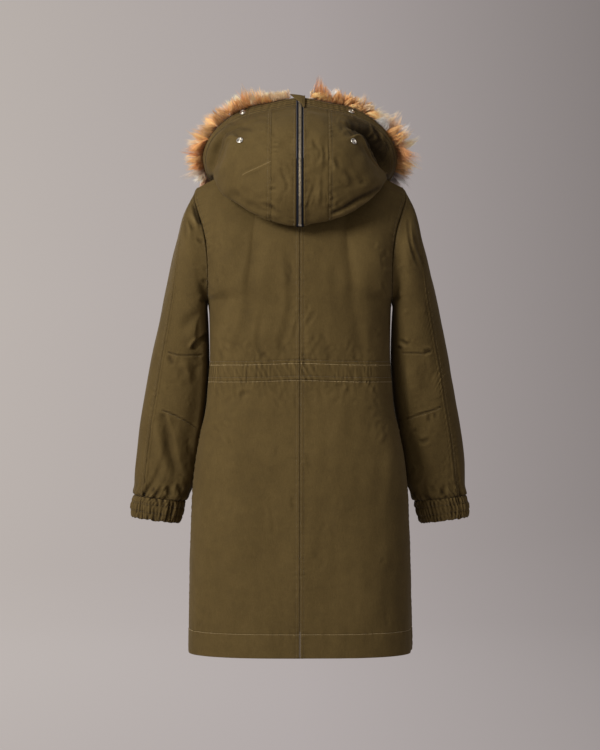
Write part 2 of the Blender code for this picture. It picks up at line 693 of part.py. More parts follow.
def turned(name, centre, outward, profile, sides, material):
    """A round piece about the line through centre along outward: profile rows are radius and height."""
    helper = np.array((0, 0, 1.0)) if abs(outward[2]) < 0.9 else np.array((0, 1.0, 0))
    right = unit(np.cross(helper, outward))
    ahead = np.cross(outward, right)
    points, faces = [], []
    for radius, height in profile:
        for number in range(sides):
            angle = 2 * math.pi * number / sides
            points.append(centre + outward * height + (right * math.cos(angle) + ahead * math.sin(angle)) * radius)
    for ring in range(len(profile) - 1):
        for number in range(sides):
            following = (number + 1) % sides
            faces.append((ring * sides + number, ring * sides + following, (ring + 1) * sides + following,
                          (ring + 1) * sides + number))
    faces.append(tuple(range(sides)))
    faces.append(tuple((len(profile) - 1) * sides + number for number in range(sides)))
    return place(name, points, faces, material)


def make_studs(side, name_side, surface, metal):
    """Ring studs that stand just clear of the hood's cloth."""
    mirror = np.array((side, 1, 1))
    for name, (section, line, stand_off) in STUDS[name_side].items():
        point, outward, _ = frame_at(surface, section, line)
        lift = stand_off * MM
        profile = (
            (STUD_RADIUS, lift),
            (STUD_RADIUS, lift + 0.55 * STUD_HEIGHT),
            (0.8 * STUD_RADIUS, lift + STUD_HEIGHT),
            (0.5 * STUD_RADIUS, lift + STUD_HEIGHT),
            (0.4 * STUD_RADIUS, lift + 0.6 * STUD_HEIGHT),
        )
        turned(f"{name}_{name_side}", point * mirror, outward * mirror, profile, 20, metal)


def block(name, centre, axes, sizes, bevel, material):
    """A box along three unit axes, its edges bevelled."""
    corners = [
        centre + axes[0] * sizes[0] * i / 2 + axes[1] * sizes[1] * j / 2 + axes[2] * sizes[2] * k / 2
        for i in (-1, 1)
        for j in (-1, 1)
        for k in (-1, 1)
    ]
    faces = [(0, 1, 3, 2), (4, 6, 7, 5), (0, 4, 5, 1), (2, 3, 7, 6), (0, 2, 6, 4), (1, 5, 7, 3)]
    piece = place(name, corners, faces, material)
    work = bmesh.new()
    work.from_mesh(piece.data)
    bmesh.ops.bevel(work, geom=work.edges[:], offset=bevel, segments=1, affect="EDGES")
    work.to_mesh(piece.data)
    work.free()
    return piece


def make_hood_trim(surface, cloth, metal):
    """Slider and stop of the hood zip, and the folded tab over its top end."""
    sideways = np.array((1.0, 0, 0))
    point, outward, climb = frame_at(surface, 0, HOOD_SLIDER_LINE)
    centre = point + outward * (HOOD_ZIP_SEAT + SLIDER_THICK / 2)
    block("hood_zip_slider", centre, (sideways, climb, outward),
          (HOOD_SLIDER_WIDTH, HOOD_SLIDER_LENGTH, SLIDER_THICK), 0.6 * MM, metal)
    point, outward, climb = frame_at(surface, 0, FOLD_LINE + 0.18)
    centre = point + outward * (STOP_THICK / 2 - STOP_SINK)
    sizes = (STOP_WIDTH, STOP_LENGTH, STOP_THICK)
    block("hood_zip_stop", centre, (sideways, climb, outward), sizes, 0.4 * MM, metal)
    make_tab(surface, cloth)


def make_tab(surface, cloth):
    """A triangular flap of the wearer's right edge, folded over the zip's top end and its slider."""
    lines = np.linspace(TAB_TIP_LINE, RIM_LINE, 5)
    left_edge = np.linspace(TAB_TIP_LEFT, TAB_TOP_LEFT, 5)
    right_edge = np.linspace(TAB_TIP_RIGHT, TAB_TOP_RIGHT, 5)
    share = np.linspace(0, 1, 4)[:, None]
    grid = np.meshgrid(np.zeros(4), lines, indexing="ij")
    points = surface(*grid)
    outward = normals(surface, *grid, -1, (-1, HOOD_END), (0, RIM_LINE))
    points = points + outward * (HOOD_ZIP_SEAT + SLIDER_THICK + SEAM_GAP + TAB_THICK)
    points[..., 0] = left_edge * (1 - share) + right_edge * share
    above = points[:, -1] + unit(points[:, -1] - points[:, -2]) * TAB_RISE * (1 - share)
    points = np.concatenate([points, above[:, None]], axis=1)
    outward = np.concatenate([outward, outward[:, -1:]], axis=1)
    wall("hood_tab", points, outward, TAB_THICK, cloth)


def make_front_pull(metal):
    """The front zip's slider with its bridge, and the pull tab that swings on it."""
    first, second = np.array([0.0]), np.array([FRONT_SLIDER_UP])

    def surface(a, b):
        return torso(a, b, False)

    point = surface(first, second)[0]
    outward = normals(surface, first + 0.01, second, 1, (0, 1), (0, 2))[0]
    outward[0] = 0
    outward = unit(outward)
    sideways = np.array((1.0, 0, 0))
    climb = np.cross(outward, sideways)
    climb = climb if climb[2] > 0 else -climb
    seat = point + outward * HOOD_ZIP_SEAT
    middle = seat + outward * SLIDER_THICK / 2
    axes = (sideways, climb, outward)
    slider = block("front_zip_slider", middle, axes, (SLIDER_WIDTH, SLIDER_LENGTH, SLIDER_THICK), 0.5 * MM, metal)
    axis_point = seat + outward * (SLIDER_THICK + EYE_OUTER + SEAM_GAP) + climb * PIN_AHEAD
    cheeks = []
    for hand in (-1, 1):
        across = sideways * hand * (PULL_WIDTH - CHEEK_SINK) / 2
        centre = seat + outward * (SLIDER_THICK - CHEEK_SINK + CHEEK_HEIGHT / 2) + climb * PIN_AHEAD + across
        sizes = (CHEEK_WIDTH, CHEEK_LENGTH, CHEEK_HEIGHT)
        cheeks.append(block(f"cheek_{hand}", centre, axes, sizes, CHEEK_SINK, metal))
    pin = turned("pin", axis_point - sideways * PULL_WIDTH / 2, sideways,
                 ((PULL_PIN_RADIUS, 0), (PULL_PIN_RADIUS, PULL_WIDTH)), 16, metal)
    for helper in (*cheeks, pin):
        join = slider.modifiers.new(helper.name, "BOOLEAN")
        join.operation = "UNION"
        join.object = helper
        helper.hide_render = True
        helper.display_type = "WIRE"
    make_pull_tab(axis_point, climb, outward, sideways, metal)
    return axis_point


def make_pull_tab(axis_point, climb, outward, sideways, metal):
    """A flat tab with an eye round the pin; it hangs down along the zip at rest."""
    width = PULL_WIDTH - 2 * CHEEK_WIDTH - 1 * MM
    eye_inner = PULL_PIN_RADIUS + 0.25 * MM
    sides = 20
    points, faces = [], []
    for hand in (-1, 1):
        for radius in (EYE_OUTER, eye_inner):
            for number in range(sides):
                angle = 2 * math.pi * number / sides
                points.append(axis_point + sideways * hand * width / 2
                              + (climb * math.cos(angle) + outward * math.sin(angle)) * radius)
    low_out, low_in, high_out, high_in = 0, sides, 2 * sides, 3 * sides
    for number in range(sides):
        following = (number + 1) % sides
        faces.append((low_out + number, low_out + following, low_in + following, low_in + number))
        faces.append((high_out + number, high_out + following, high_in + following, high_in + number))
        faces.append((low_out + number, low_out + following, high_out + following, high_out + number))
        faces.append((low_in + number, low_in + following, high_in + following, high_in + number))
    pull = place("front_zip_pull", points, faces, metal, tuple(axis_point))
    axes = (sideways, climb, outward)
    tongue_top = EYE_OUTER + TONGUE_DROP
    tongue_length = PULL_LENGTH - tongue_top
    lift = outward * TONGUE_LIFT
    tongue = block("tongue", axis_point - climb * (tongue_top + tongue_length / 2) + lift, axes,
                   (PULL_WIDTH, tongue_length, PULL_THICK), 0.4 * MM, metal)
    neck_length = tongue_top - eye_inner + TONGUE_NECK_SINK
    neck = block("tongue_neck", axis_point - climb * (eye_inner + neck_length / 2 + 0.2 * MM) + lift, axes,
                 (width - 0.2 * MM, neck_length, PULL_THICK - 0.3 * MM), 0.1 * MM, metal)
    for helper in (neck, tongue):
        join = pull.modifiers.new(helper.name, "BOOLEAN")
        join.operation = "UNION"
        join.object = helper
        helper.hide_render = True
        helper.display_type = "WIRE"


def main():
    for old in list(bpy.data.objects):
        bpy.data.objects.remove(old, do_unlink=True)
    cloth = finish("olive_cotton", OLIVE, 0.85)
    tape = finish("zip_tape", NAVY, 0.7)
    metal = finish("nickel", NICKEL, 0.3, 1.0)
    fur = finish("fur", FUR_ORANGE, 0.95)
    for side, name_side in ((1, "left"), (-1, "right")):
        make_body(side, name_side, cloth)
        make_cuff(side, name_side, cloth)
        surface = make_hood(side, name_side, cloth)
        make_fur(side, name_side, surface, fur)
        make_hood_zip(side, name_side, surface, tape)
        make_front_zip(side, name_side, tape)
        make_studs(side, name_side, surface, metal)
    make_hood_trim(hood_surface(True), cloth, metal)
    make_front_pull(metal)


main()
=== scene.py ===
import math
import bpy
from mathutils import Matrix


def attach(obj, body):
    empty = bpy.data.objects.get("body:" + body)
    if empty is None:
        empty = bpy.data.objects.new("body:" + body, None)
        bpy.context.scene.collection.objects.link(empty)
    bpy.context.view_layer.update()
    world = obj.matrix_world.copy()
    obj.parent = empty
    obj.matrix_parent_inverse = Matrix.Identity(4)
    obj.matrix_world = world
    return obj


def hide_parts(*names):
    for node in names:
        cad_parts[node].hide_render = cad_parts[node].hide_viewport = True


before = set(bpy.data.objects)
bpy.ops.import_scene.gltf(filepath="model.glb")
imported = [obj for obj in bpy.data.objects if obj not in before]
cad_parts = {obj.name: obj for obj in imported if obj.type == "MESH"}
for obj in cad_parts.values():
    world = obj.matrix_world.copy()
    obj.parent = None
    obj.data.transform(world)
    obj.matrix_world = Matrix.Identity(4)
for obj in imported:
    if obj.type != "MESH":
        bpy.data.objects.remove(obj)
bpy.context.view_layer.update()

import zlib

import bmesh
import bpy
import numpy as np
from mathutils import Vector
from mathutils.bvhtree import BVHTree

MM = 0.001
SIDES = ((1, "left"), (-1, "right"))  # the wearer's; the left is on +x
STEP = 1e-3  # parameter step for tangents
WALL = 2.5 * MM
SEAM_GAP = 0.3 * MM
ZIP_HALF = 6.8 * MM

# ---------------------------------------------------------------------------------------------------------
# The garment's surfaces, from the same tables of sections as the CAD panels. Rows are in millimetres.
# ---------------------------------------------------------------------------------------------------------


def table(names, *rows):
    """Columns by name, in metres, from rows in millimetres."""
    return dict(zip(names.split(), np.array(rows, float).T * MM))


TORSO = table(
    "height half_width back front",
    (-907, 216.5, 149, 153),
    (-790, 215.5, 147, 151),
    (-670, 212.5, 144, 148),
    (-583, 208.5, 139, 145),
    (-538, 203.5, 136, 142),
    (-484, 194.0, 131, 138),
    (-435, 184.0, 126, 132),
    (-385, 179.5, 121, 127),
    (-352, 176.8, 121, 127),
    (-290, 176.5, 127, 132),
    (-226, 178.0, 131, 136),
)
SQUARENESS = 2.85  # the power of the torso's rounded sections
SECTION_SAMPLES = 91
BACK_CENTRE = table("y z", (131, -226), (132, -165), (127, -105), (112, -48), (92, 0), (73, 32))
FRONT_CENTRE = table("y z", (-136, -226), (-138, -190), (-131, -145), (-118, -100), (-98, -45))
BACK_ARMHOLE = table(
    "x y z",
    (178, 0, -226),
    (178, 42, -218),
    (177.5, 66, -190),
    (178, 76, -152),
    (181, 73, -119),
    (187, 63, -88),
    (197, 43, -56),
    (206, 16, -24),
    (203, -5, -6),
)
FRONT_ARMHOLE = table(
    "x y z",
    (178, 0, -226),
    (177, -38, -219),
    (172, -64, -195),
    (168, -74, -158),
    (169, -75, -120),
    (178, -66, -84),
    (193, -43, -47),
    (204, -22, -18),
    (203, -5, -6),
)
SHOULDER_POINT = np.array((203, -5, -6)) * MM
NECK_POINT = np.array((78, -2, 49)) * MM
NECK_SHARE = 0.4
SLEEVE = table(
    "outer_x outer_z inner_x inner_z half_depth middle_y",
    (223, -49, 180.5, -238, 80, -4),
    (238.5, -107, 179, -252, 82, -8),
    (251, -154, 178, -272, 83, -14),
    (263, -201, 177.3, -296, 82, -21),
    (273.5, -250, 176.8, -326, 81, -28),
    (284, -300, 177.2, -358, 79, -36),
    (293.5, -345, 178.8, -390, 77, -43),
    (301.5, -390, 181.5, -424, 75, -49),
    (309.5, -435, 187.5, -462, 72, -54),
    (317, -482, 195.5, -505, 68, -59),
    (323, -528, 202, -548, 64, -63),
    (327, -570, 208.5, -582, 60, -66),
    (328, -607, 226.5, -619, 55, -68),
)
CUFF = table(
    "outer_x outer_z inner_x inner_z half_depth middle_y",
    (328, -607, 226.5, -619, 55, -68),
    (333, -629, 232, -642, 51, -70),
    (333.5, -650, 238, -663, 47, -72),
)
SLEEVE_ROUNDNESS = 2.2
BACK_SEAM_AT_ARMHOLE = 4 / 9
BACK_SEAM_AT_CUFF = 0.35
FRONT_SEAM = 8 / 9
HOOD = {
    "stand": table(
        "x y z",
        (0, 84, 42), (38, 77, 48), (62, 58, 56), (76, 38, 62), (84, 22, 65), (88, 8, 66), (89, -6, 64),
        (87, -24, 58), (62, -82, 12), (7, -106, -31),
    ),
    "under": table(
        "x y z",
        (0, 121, -50), (50, 115, -38), (82, 103, -24), (106, 88, -8), (124, 71, 6), (134, 53, 16),
        (138, 30, 24), (112, -20, 46), (74, -92, 15), (8, -112, -24),
    ),
    "fold": table(
        "x y z",
        (0, 152, -90), (54, 147, -79), (94, 136, -61), (125, 115, -41), (146, 93, -24), (158, 68, -8),
        (160, 40, 6), (134, -24, 34), (84, -99, 14), (9, -117, -18),
    ),
    "low": table(
        "x y z",
        (0, 180, -45), (54, 174, -38), (98, 158, -24), (132, 133, -12), (151, 103, -5), (162, 76, 4),
        (166, 48, 7), (142, -30, 28), (92, -104, 11), (10, -121, -13),
    ),
    "belly": table(
        "x y z",
        (0, 178, 15), (54, 172, 16), (100, 154, 20), (135, 130, 22), (152, 101, 20), (162, 74, 16),
        (167, 46, 16), (149, -36, 24), (99, -108, 8), (11, -125, -9),
    ),
    "ridge": table(
        "x y z",
        (0, 148, 82), (54, 143, 78), (100, 128, 73), (137, 102, 82), (147, 84, 57), (158, 62, 33),
        (165, 32, 22), (155, -42, 20), (106, -111, 5), (12, -128, -5),
    ),
    "valley": table(
        "x y z",
        (0, 92, 128), (54, 90, 120), (99, 80, 111), (146, 56, 94), (158, 36, 70),
        (166, 22, 43), (171, 8, 25), (161, -48, 17), (113, -114, 2), (12.5, -131, -1),
    ),
    "brim": table(
        "x y z",
        (0, 46, 151), (54, 46, 142), (98, 40, 133), (143, 30, 113), (174, 18, 83), (184, 4, 54),
        (182, -20, 28), (169, -62, 12), (122, -118, 0), (13, -135, 4),
    ),
    "rim": table(
        "x y z",
        (0, 30, 168), (54, 30, 158), (98, 25, 149), (143, 12, 127), (175, -4, 95), (190, -20, 62),
        (187, -42, 33), (176, -74, 12), (132, -124, 2), (14, -142, 14),
    ),
}
FOLD_LINE = 3
BRIM_LINE = 8
RIM_LINE = 9
HOOD_END = 9
NECK_ANGLES = (0, 28, 50, 66, 78, 88, 96, 104, 140, 176)
NECK_STAND_GAP = 0.8 * MM
RIGHT_RIDGE_IN = table(
    "ridge valley belly",
    (0, 0, 0), (0, 0, 0), (8, 3, 2), (26, 12, 8), (20, 10, 7),
    (12, 7, 5), (1, 1, 1), (0, 0, 0), (0, 0, 0), (0, 0, 0),
)
RIGHT_VALLEY_DEEPER = 7 * MM
STUDS = {
    "left": {"stud_upper": (2.27, 8.62), "stud_lower": (2.35, 5.96)},
    "right": {"stud_upper": (2.03, 8.5), "stud_lower": (2.42, 5.9)},
}
HOOD_ZIP_TOP = 8.93
TAB_TIP_LINE = 7.74
TAB_TIP_LEFT = -5.5 * MM
TAB_TIP_RIGHT = -9 * MM
TAB_TOP_LEFT = 15.5 * MM
TAB_TOP_RIGHT = -10 * MM
TAB_RISE = 6 * MM
TAB_LIFT = 4.6 * MM  # the tab's outer face stands this far off the hood, over the slider
TAB_THICK = 1.6 * MM
TAB_ROWS, TAB_COLUMNS = 22, 20
FUR_START = 0.36
FUR_SPLAY = 0.45


def curve(points, at):
    """Points on the smooth curve through points (..., n, 3) at these knot numbers."""
    chords = np.diff(points, axis=-2)
    lengths = np.linalg.norm(chords, axis=-1, keepdims=True) + 1e-9
    slopes = chords / lengths
    inner = (lengths[..., 1:, :] * slopes[..., :-1, :] + lengths[..., :-1, :] * slopes[..., 1:, :]) / (
        lengths[..., 1:, :] + lengths[..., :-1, :]
    )
    tangents = np.concatenate([slopes[..., :1, :], inner, slopes[..., -1:, :]], axis=-2)
    last = points.shape[-2] - 2
    index = np.clip(np.floor(at).astype(int), 0, last)
    share = (at - index)[..., None]

    def pick(values, offset=0):
        shape = index.shape + values.shape[-2:]
        chosen = np.broadcast_to(values, shape)
        return np.take_along_axis(chosen, (index + offset)[..., None, None], axis=-2)[..., 0, :]

    length = pick(lengths)
    start, end = pick(points), pick(points, 1)
    start_pull, end_pull = pick(tangents) * length, pick(tangents, 1) * length
    square, cube = share**2, share**3
    return (
        (2 * cube - 3 * square + 1) * start
        + (cube - 2 * square + share) * start_pull
        + (3 * square - 2 * cube) * end
        + (cube - square) * end_pull
    )


def column(rows, name, key, at):
    """One column of a table at these values of its key column, smoothly."""
    keys = rows[key]
    number = np.interp(at, keys, np.arange(len(keys)))
    points = np.stack([keys, rows[name], np.zeros(len(keys))], axis=-1)
    return curve(points, number)[..., 1]


def rail(rows, share):
    """Points along a table of x, y, z (or y, z) rows, with share running from 0 to 1."""
    count = len(rows["z"])
    points = np.stack([rows.get("x", np.zeros(count)), rows["y"], rows["z"]], axis=-1)
    return curve(points, share * (count - 1))


def unit(vectors):
    return vectors / (np.linalg.norm(vectors, axis=-1, keepdims=True) + 1e-12)


def quarter_section(half_width, depth, across):
    """x and y on a torso section. across runs along the cloth from the centre line to the side seam."""
    angle = np.linspace(0, math.pi / 2, SECTION_SAMPLES)
    x = half_width[..., None] * np.sin(angle) ** (2 / SQUARENESS)
    y = depth[..., None] * np.cos(angle) ** (2 / SQUARENESS)
    steps = np.hypot(np.diff(x), np.diff(y))
    length = np.concatenate([np.zeros_like(steps[..., :1]), np.cumsum(steps, axis=-1)], axis=-1)
    wanted = np.ravel(across * length[..., -1])
    lengths = length.reshape(-1, SECTION_SAMPLES)
    found = []
    for values in (x, y):
        rows = zip(wanted, lengths, values.reshape(-1, SECTION_SAMPLES))
        found.append(np.reshape([np.interp(at, run, row) for at, run, row in rows], across.shape))
    return found


def neckline(turn, back):
    """A point of the neck seam: turn runs from the centre line (0) to the neck point (1)."""
    angle = turn * math.pi / 2
    centre = rail(BACK_CENTRE if back else FRONT_CENTRE, np.ones_like(turn))
    x = NECK_POINT[0] * np.sin(angle)
    y = NECK_POINT[1] + (centre[..., 1] - NECK_POINT[1]) * np.cos(angle)
    drop = np.cos(angle) ** (2 if back else 1.3)
    z = NECK_POINT[2] + (centre[..., 2] - NECK_POINT[2]) * drop
    return np.stack([x, y, z], axis=-1)


def top_edge(across, back):
    neck = neckline(np.clip(across / NECK_SHARE, 0, 1), back)
    along = np.clip((across - NECK_SHARE) / (1 - NECK_SHARE), 0, 1)[..., None]
    shoulder = NECK_POINT + (SHOULDER_POINT - NECK_POINT) * along
    shoulder[..., 2] += 3 * MM * np.sin(along[..., 0] * math.pi)
    return np.where(across[..., None] < NECK_SHARE, neck, shoulder)


def bulge(rows, share):
    """How far a rail stands off the straight line between its two ends."""
    first = rail(rows, np.zeros_like(share))
    last = rail(rows, np.ones_like(share))
    return rail(rows, share) - (first * (1 - share[..., None]) + last * share[..., None])


def torso(across, up, back):
    """Points of the torso's left half. up runs from the hem (0) by the underarm (1) to the top (2)."""
    depth_column = "back" if back else "front"
    centre_line = BACK_CENTRE if back else FRONT_CENTRE
    armhole_line = BACK_ARMHOLE if back else FRONT_ARMHOLE
    height = TORSO["height"][0] + (TORSO["height"][-1] - TORSO["height"][0]) * np.clip(up, 0, 1)
    half_width = column(TORSO, "half_width", "height", height)
    depth = column(TORSO, depth_column, "height", height)
    x, y = quarter_section(half_width, depth, across)
    lower = np.stack([x, y if back else -y, height], axis=-1)
    rise = np.clip(up - 1, 0, 1)
    share = rise[..., None]
    ends = ("half_width", depth_column, "height")
    widest, deepest, level = (np.full_like(across, TORSO[name][-1]) for name in ends)
    chest_x, chest_y = quarter_section(widest, deepest, across)
    chest = np.stack([chest_x, chest_y if back else -chest_y, level], axis=-1)
    straight = chest * (1 - share) + top_edge(across, back) * share
    sideways = (np.sin(across * math.pi / 2) ** 2)[..., None]
    upper = straight + bulge(centre_line, rise) * (1 - sideways) + bulge(armhole_line, rise) * sideways
    return np.where(up[..., None] > 1, upper, lower)


def ring_point(rows, turn):
    """Points of every section in a sleeve table at this turn round it, which starts at the inner end."""
    outer = np.stack([rows["outer_x"], rows["middle_y"], rows["outer_z"]], axis=-1)
    inner = np.stack([rows["inner_x"], rows["middle_y"], rows["inner_z"]], axis=-1)
    angle = (2 * math.pi * turn)[..., None, None]
    power = 2 / SLEEVE_ROUNDNESS
    across = -np.sign(np.cos(angle)) * np.abs(np.cos(angle)) ** power
    deep = np.sign(np.sin(angle)) * np.abs(np.sin(angle)) ** power
    half_depth = rows["half_depth"][:, None] * np.array((0, 1, 0))
    return (outer + inner) / 2 + (outer - inner) / 2 * across + half_depth * deep


def armhole_loop(turn):
    """The armhole seam, from the underarm (0) up the back to the shoulder (0.5) and down the front (1)."""
    turn = np.mod(turn, 1)
    behind = rail(BACK_ARMHOLE, np.clip(2 * turn, 0, 1))
    before = rail(FRONT_ARMHOLE, np.clip(2 - 2 * turn, 0, 1))
    return np.where(turn[..., None] <= 0.5, behind, before)


def warped(turn, down):
    """Turns the sleeve's grid so that its back seam moves from the shoulder towards the elbow."""
    ease = np.clip(down * 3, 0, 1)
    seam = BACK_SEAM_AT_ARMHOLE + (BACK_SEAM_AT_CUFF - BACK_SEAM_AT_ARMHOLE) * ease**2 * (3 - 2 * ease)
    before = turn * seam / BACK_SEAM_AT_ARMHOLE
    after = seam + (turn - BACK_SEAM_AT_ARMHOLE) * (FRONT_SEAM - seam) / (FRONT_SEAM - BACK_SEAM_AT_ARMHOLE)
    return np.where(turn < 0, turn, np.where(turn <= BACK_SEAM_AT_ARMHOLE, before, after))


def sleeve(turn, down):
    """A point of the wearer's left sleeve: down runs from the armhole (0) to the cuff seam (1)."""
    turn = warped(turn, down)
    start = armhole_loop(turn)[..., None, :]
    points = np.concatenate([start, ring_point(SLEEVE, turn)], axis=-2)
    return curve(points, down * (points.shape[-2] - 1))


def cuff(turn, down):
    return curve(ring_point(CUFF, turn), down * (len(CUFF["outer_x"]) - 1))


def hood_surface(left):
    """The hood's outer face as a function of section and line numbers, mirrored at the centre back."""
    neck = []
    for degrees in NECK_ANGLES:
        turn = min(degrees, 180 - degrees) / 90
        neck.append(neckline(np.array(turn), degrees <= 90) + (0, 0, NECK_STAND_GAP))
    lines = {name: np.stack([rows["x"], rows["y"], rows["z"]], axis=-1) for name, rows in HOOD.items()}
    if not left:
        for name in ("ridge", "valley", "belly"):
            lines[name][:, 0] -= RIGHT_RIDGE_IN[name]
        inward = RIGHT_RIDGE_IN["valley"]
        lines["valley"][:, 1] -= RIGHT_VALLEY_DEEPER * inward / inward.max()
    sections = np.stack([np.array(neck), *lines.values()], axis=1)
    sections = np.concatenate([sections[1:2] * np.array((-1, 1, 1)), sections])

    def surface(section, line):
        along = curve(sections, line[..., None] + np.zeros(len(sections)))
        return curve(along, section + 1)

    return surface


# ---------------------------------------------------------------------------------------------------------
# Cloth pieces as fine grids that creases, seams and gathers are drawn on
# ---------------------------------------------------------------------------------------------------------


def seeded(name):
    return np.random.default_rng(zlib.crc32(name.encode()))


def smooth_step(values):
    values = np.clip(values, 0, 1)
    return values**2 * (3 - 2 * values)


def bell(distance, width):
    """1 where the distance is 0, down to 0 about twice the width away."""
    return np.exp(-(distance / width) ** 2)


def run_length(path):
    """The length along a path up to each of its points."""
    return np.concatenate([[0], np.cumsum(np.linalg.norm(np.diff(path, axis=0), axis=-1))])


def sample(at, lengths, values):
    """Rows of three values, known at these lengths along a path, at other lengths along it."""
    return np.stack([np.interp(at, lengths, values[:, k]) for k in range(3)], axis=1)


def quads(number):
    """Four-sided faces between the numbers of a grid of points."""
    corners = [number[:-1, :-1], number[:-1, 1:], number[1:, 1:], number[1:, :-1]]
    return np.stack(corners, axis=-1).reshape(-1, 4).tolist()


def tube_faces(rings, sides):
    """Faces of a tube of rings of points, with a cap at each end."""
    number = np.arange(rings * sides).reshape(rings, sides)
    number = np.concatenate([number, number[:, :1]], axis=1)
    return quads(number) + [number[0, :-1].tolist(), number[-1, :-1].tolist()]


def spaced(length, base, fine, zones):
    """Positions from 0 to length, base apart, but fine apart near each of the (centre, reach) zones."""
    at = np.linspace(0, length, 4000)
    step = np.full_like(at, base)
    for centre, reach in zones:
        near = np.clip(2 - np.abs(at - centre) / reach, 0, 1)
        step = np.minimum(step, base + (fine - base) * near)
    count = np.concatenate([[0], np.cumsum(np.diff(at) * 2 / (step[1:] + step[:-1]))])
    number = int(math.ceil(count[-1]))
    return np.interp(np.linspace(0, count[-1], number + 1), count, at)


def grid_normals(points, sign, ring=False):
    """Unit normals of a grid of points, the second axis of which may be closed."""
    run = np.gradient(points, axis=0)
    if ring:
        rise = np.roll(points, -1, axis=1) - np.roll(points, 1, axis=1)
    else:
        rise = np.gradient(points, axis=1)
    return sign * unit(np.cross(run, rise))


def waves(along, seed, short, long, count=7):
    """A seeded uneven wave along a length in metres, about -1 to 1, of wavelengths short to long."""
    random = seeded(seed)
    total = np.zeros_like(along)
    for _ in range(count):
        wavelength = short + (long - short) * random.random()
        total = total + np.cos(2 * math.pi * (along / wavelength + random.random()))
    return total / math.sqrt(count) * 0.9


DRIFT_WAVES = 14


def drift(points, seed, size, stretch=(1, 1, 1)):
    """A seeded soft undulation over space, about -1 to 1. size is the typical wavelength in metres."""
    random = seeded(seed)
    total = np.zeros(points.shape[:-1])
    for _ in range(DRIFT_WAVES):
        direction = random.normal(size=3)
        direction /= np.linalg.norm(direction)
        wavelength = size * (0.7 + 0.9 * random.random())
        turns = points @ (direction / np.array(stretch)) * 2 * math.pi / wavelength
        total += np.cos(turns + random.random() * 2 * math.pi)
    return total / math.sqrt(DRIFT_WAVES)


class Panel:
    """A cloth piece: a grid of outer points, how far creases lift them, and the painted light and shade on
    them.
    """

    def __init__(self, name, points, sign, side, ring=False):
        mirror = np.array((side, 1, 1))
        self.name = name
        self.side = side
        self.ring = ring
        self.base = points * mirror
        self.outward = grid_normals(points, sign, ring) * mirror
        self.lift = np.zeros(points.shape[:2])
        self.shade = np.zeros(points.shape[:2])
        first = np.linalg.norm(np.diff(points, axis=0), axis=-1)
        second = np.linalg.norm(np.diff(points, axis=1), axis=-1)
        self.first = np.concatenate([np.zeros((1, points.shape[1])), np.cumsum(first, axis=0)])
        self.second = np.concatenate([np.zeros((points.shape[0], 1)), np.cumsum(second, axis=1)], axis=1)
        self.tree = None

    def edge(self, which):
        """Distance of every point from one edge, and its length along it."""
        if which == "first_low":
            return self.first, self.second
        if which == "first_high":
            return self.first[-1:] - self.first, self.second
        if which == "second_low":
            return self.second, self.first
        return self.second[:, -1:] - self.second, self.first

    def points(self):
        return self.base + self.outward * self.lift[..., None]

    def inside(self, edges, reach):
        """1 away from these edges, and down to 0 at them."""
        weight = np.ones_like(self.lift)
        for which in edges:
            weight = weight * smooth_step(self.edge(which)[0] / reach)
        return weight

    def surface_tree(self):
        if self.tree is None:
            points = self.points()
            rows, columns = points.shape[:2]
            number = np.arange(rows * columns).reshape(rows, columns)
            self.tree = BVHTree.FromPolygons(points.reshape(-1, 3).tolist(), quads(number))
        return self.tree


PATH_SAMPLES = 24  # dense samples for each point that a path is given by
CREASE_REACH = 3.4  # how many half widths from its line a crease still moves the cloth
SHOULDER_AT = 1.9  # the rise beside a trough, and its spread, in half widths
SHOULDER_SPREAD = 0.8


def smooth_path(points, step=3 * MM):
    """A dense smooth path through points (n, 2 or 3) in metres."""
    points = np.asarray(points, float)
    if points.shape[1] == 2:
        points = np.concatenate([points, np.zeros((len(points), 1))], axis=1)
    if len(points) == 2:
        dense = points[0] + (points[1] - points[0]) * np.linspace(0, 1, PATH_SAMPLES)[:, None]
    else:
        dense = curve(points, np.linspace(0, len(points) - 1, PATH_SAMPLES * len(points)))
    lengths = run_length(dense)
    count = max(3, int(lengths[-1] / step) + 1)
    return sample(np.linspace(0, lengths[-1], count), lengths, dense)


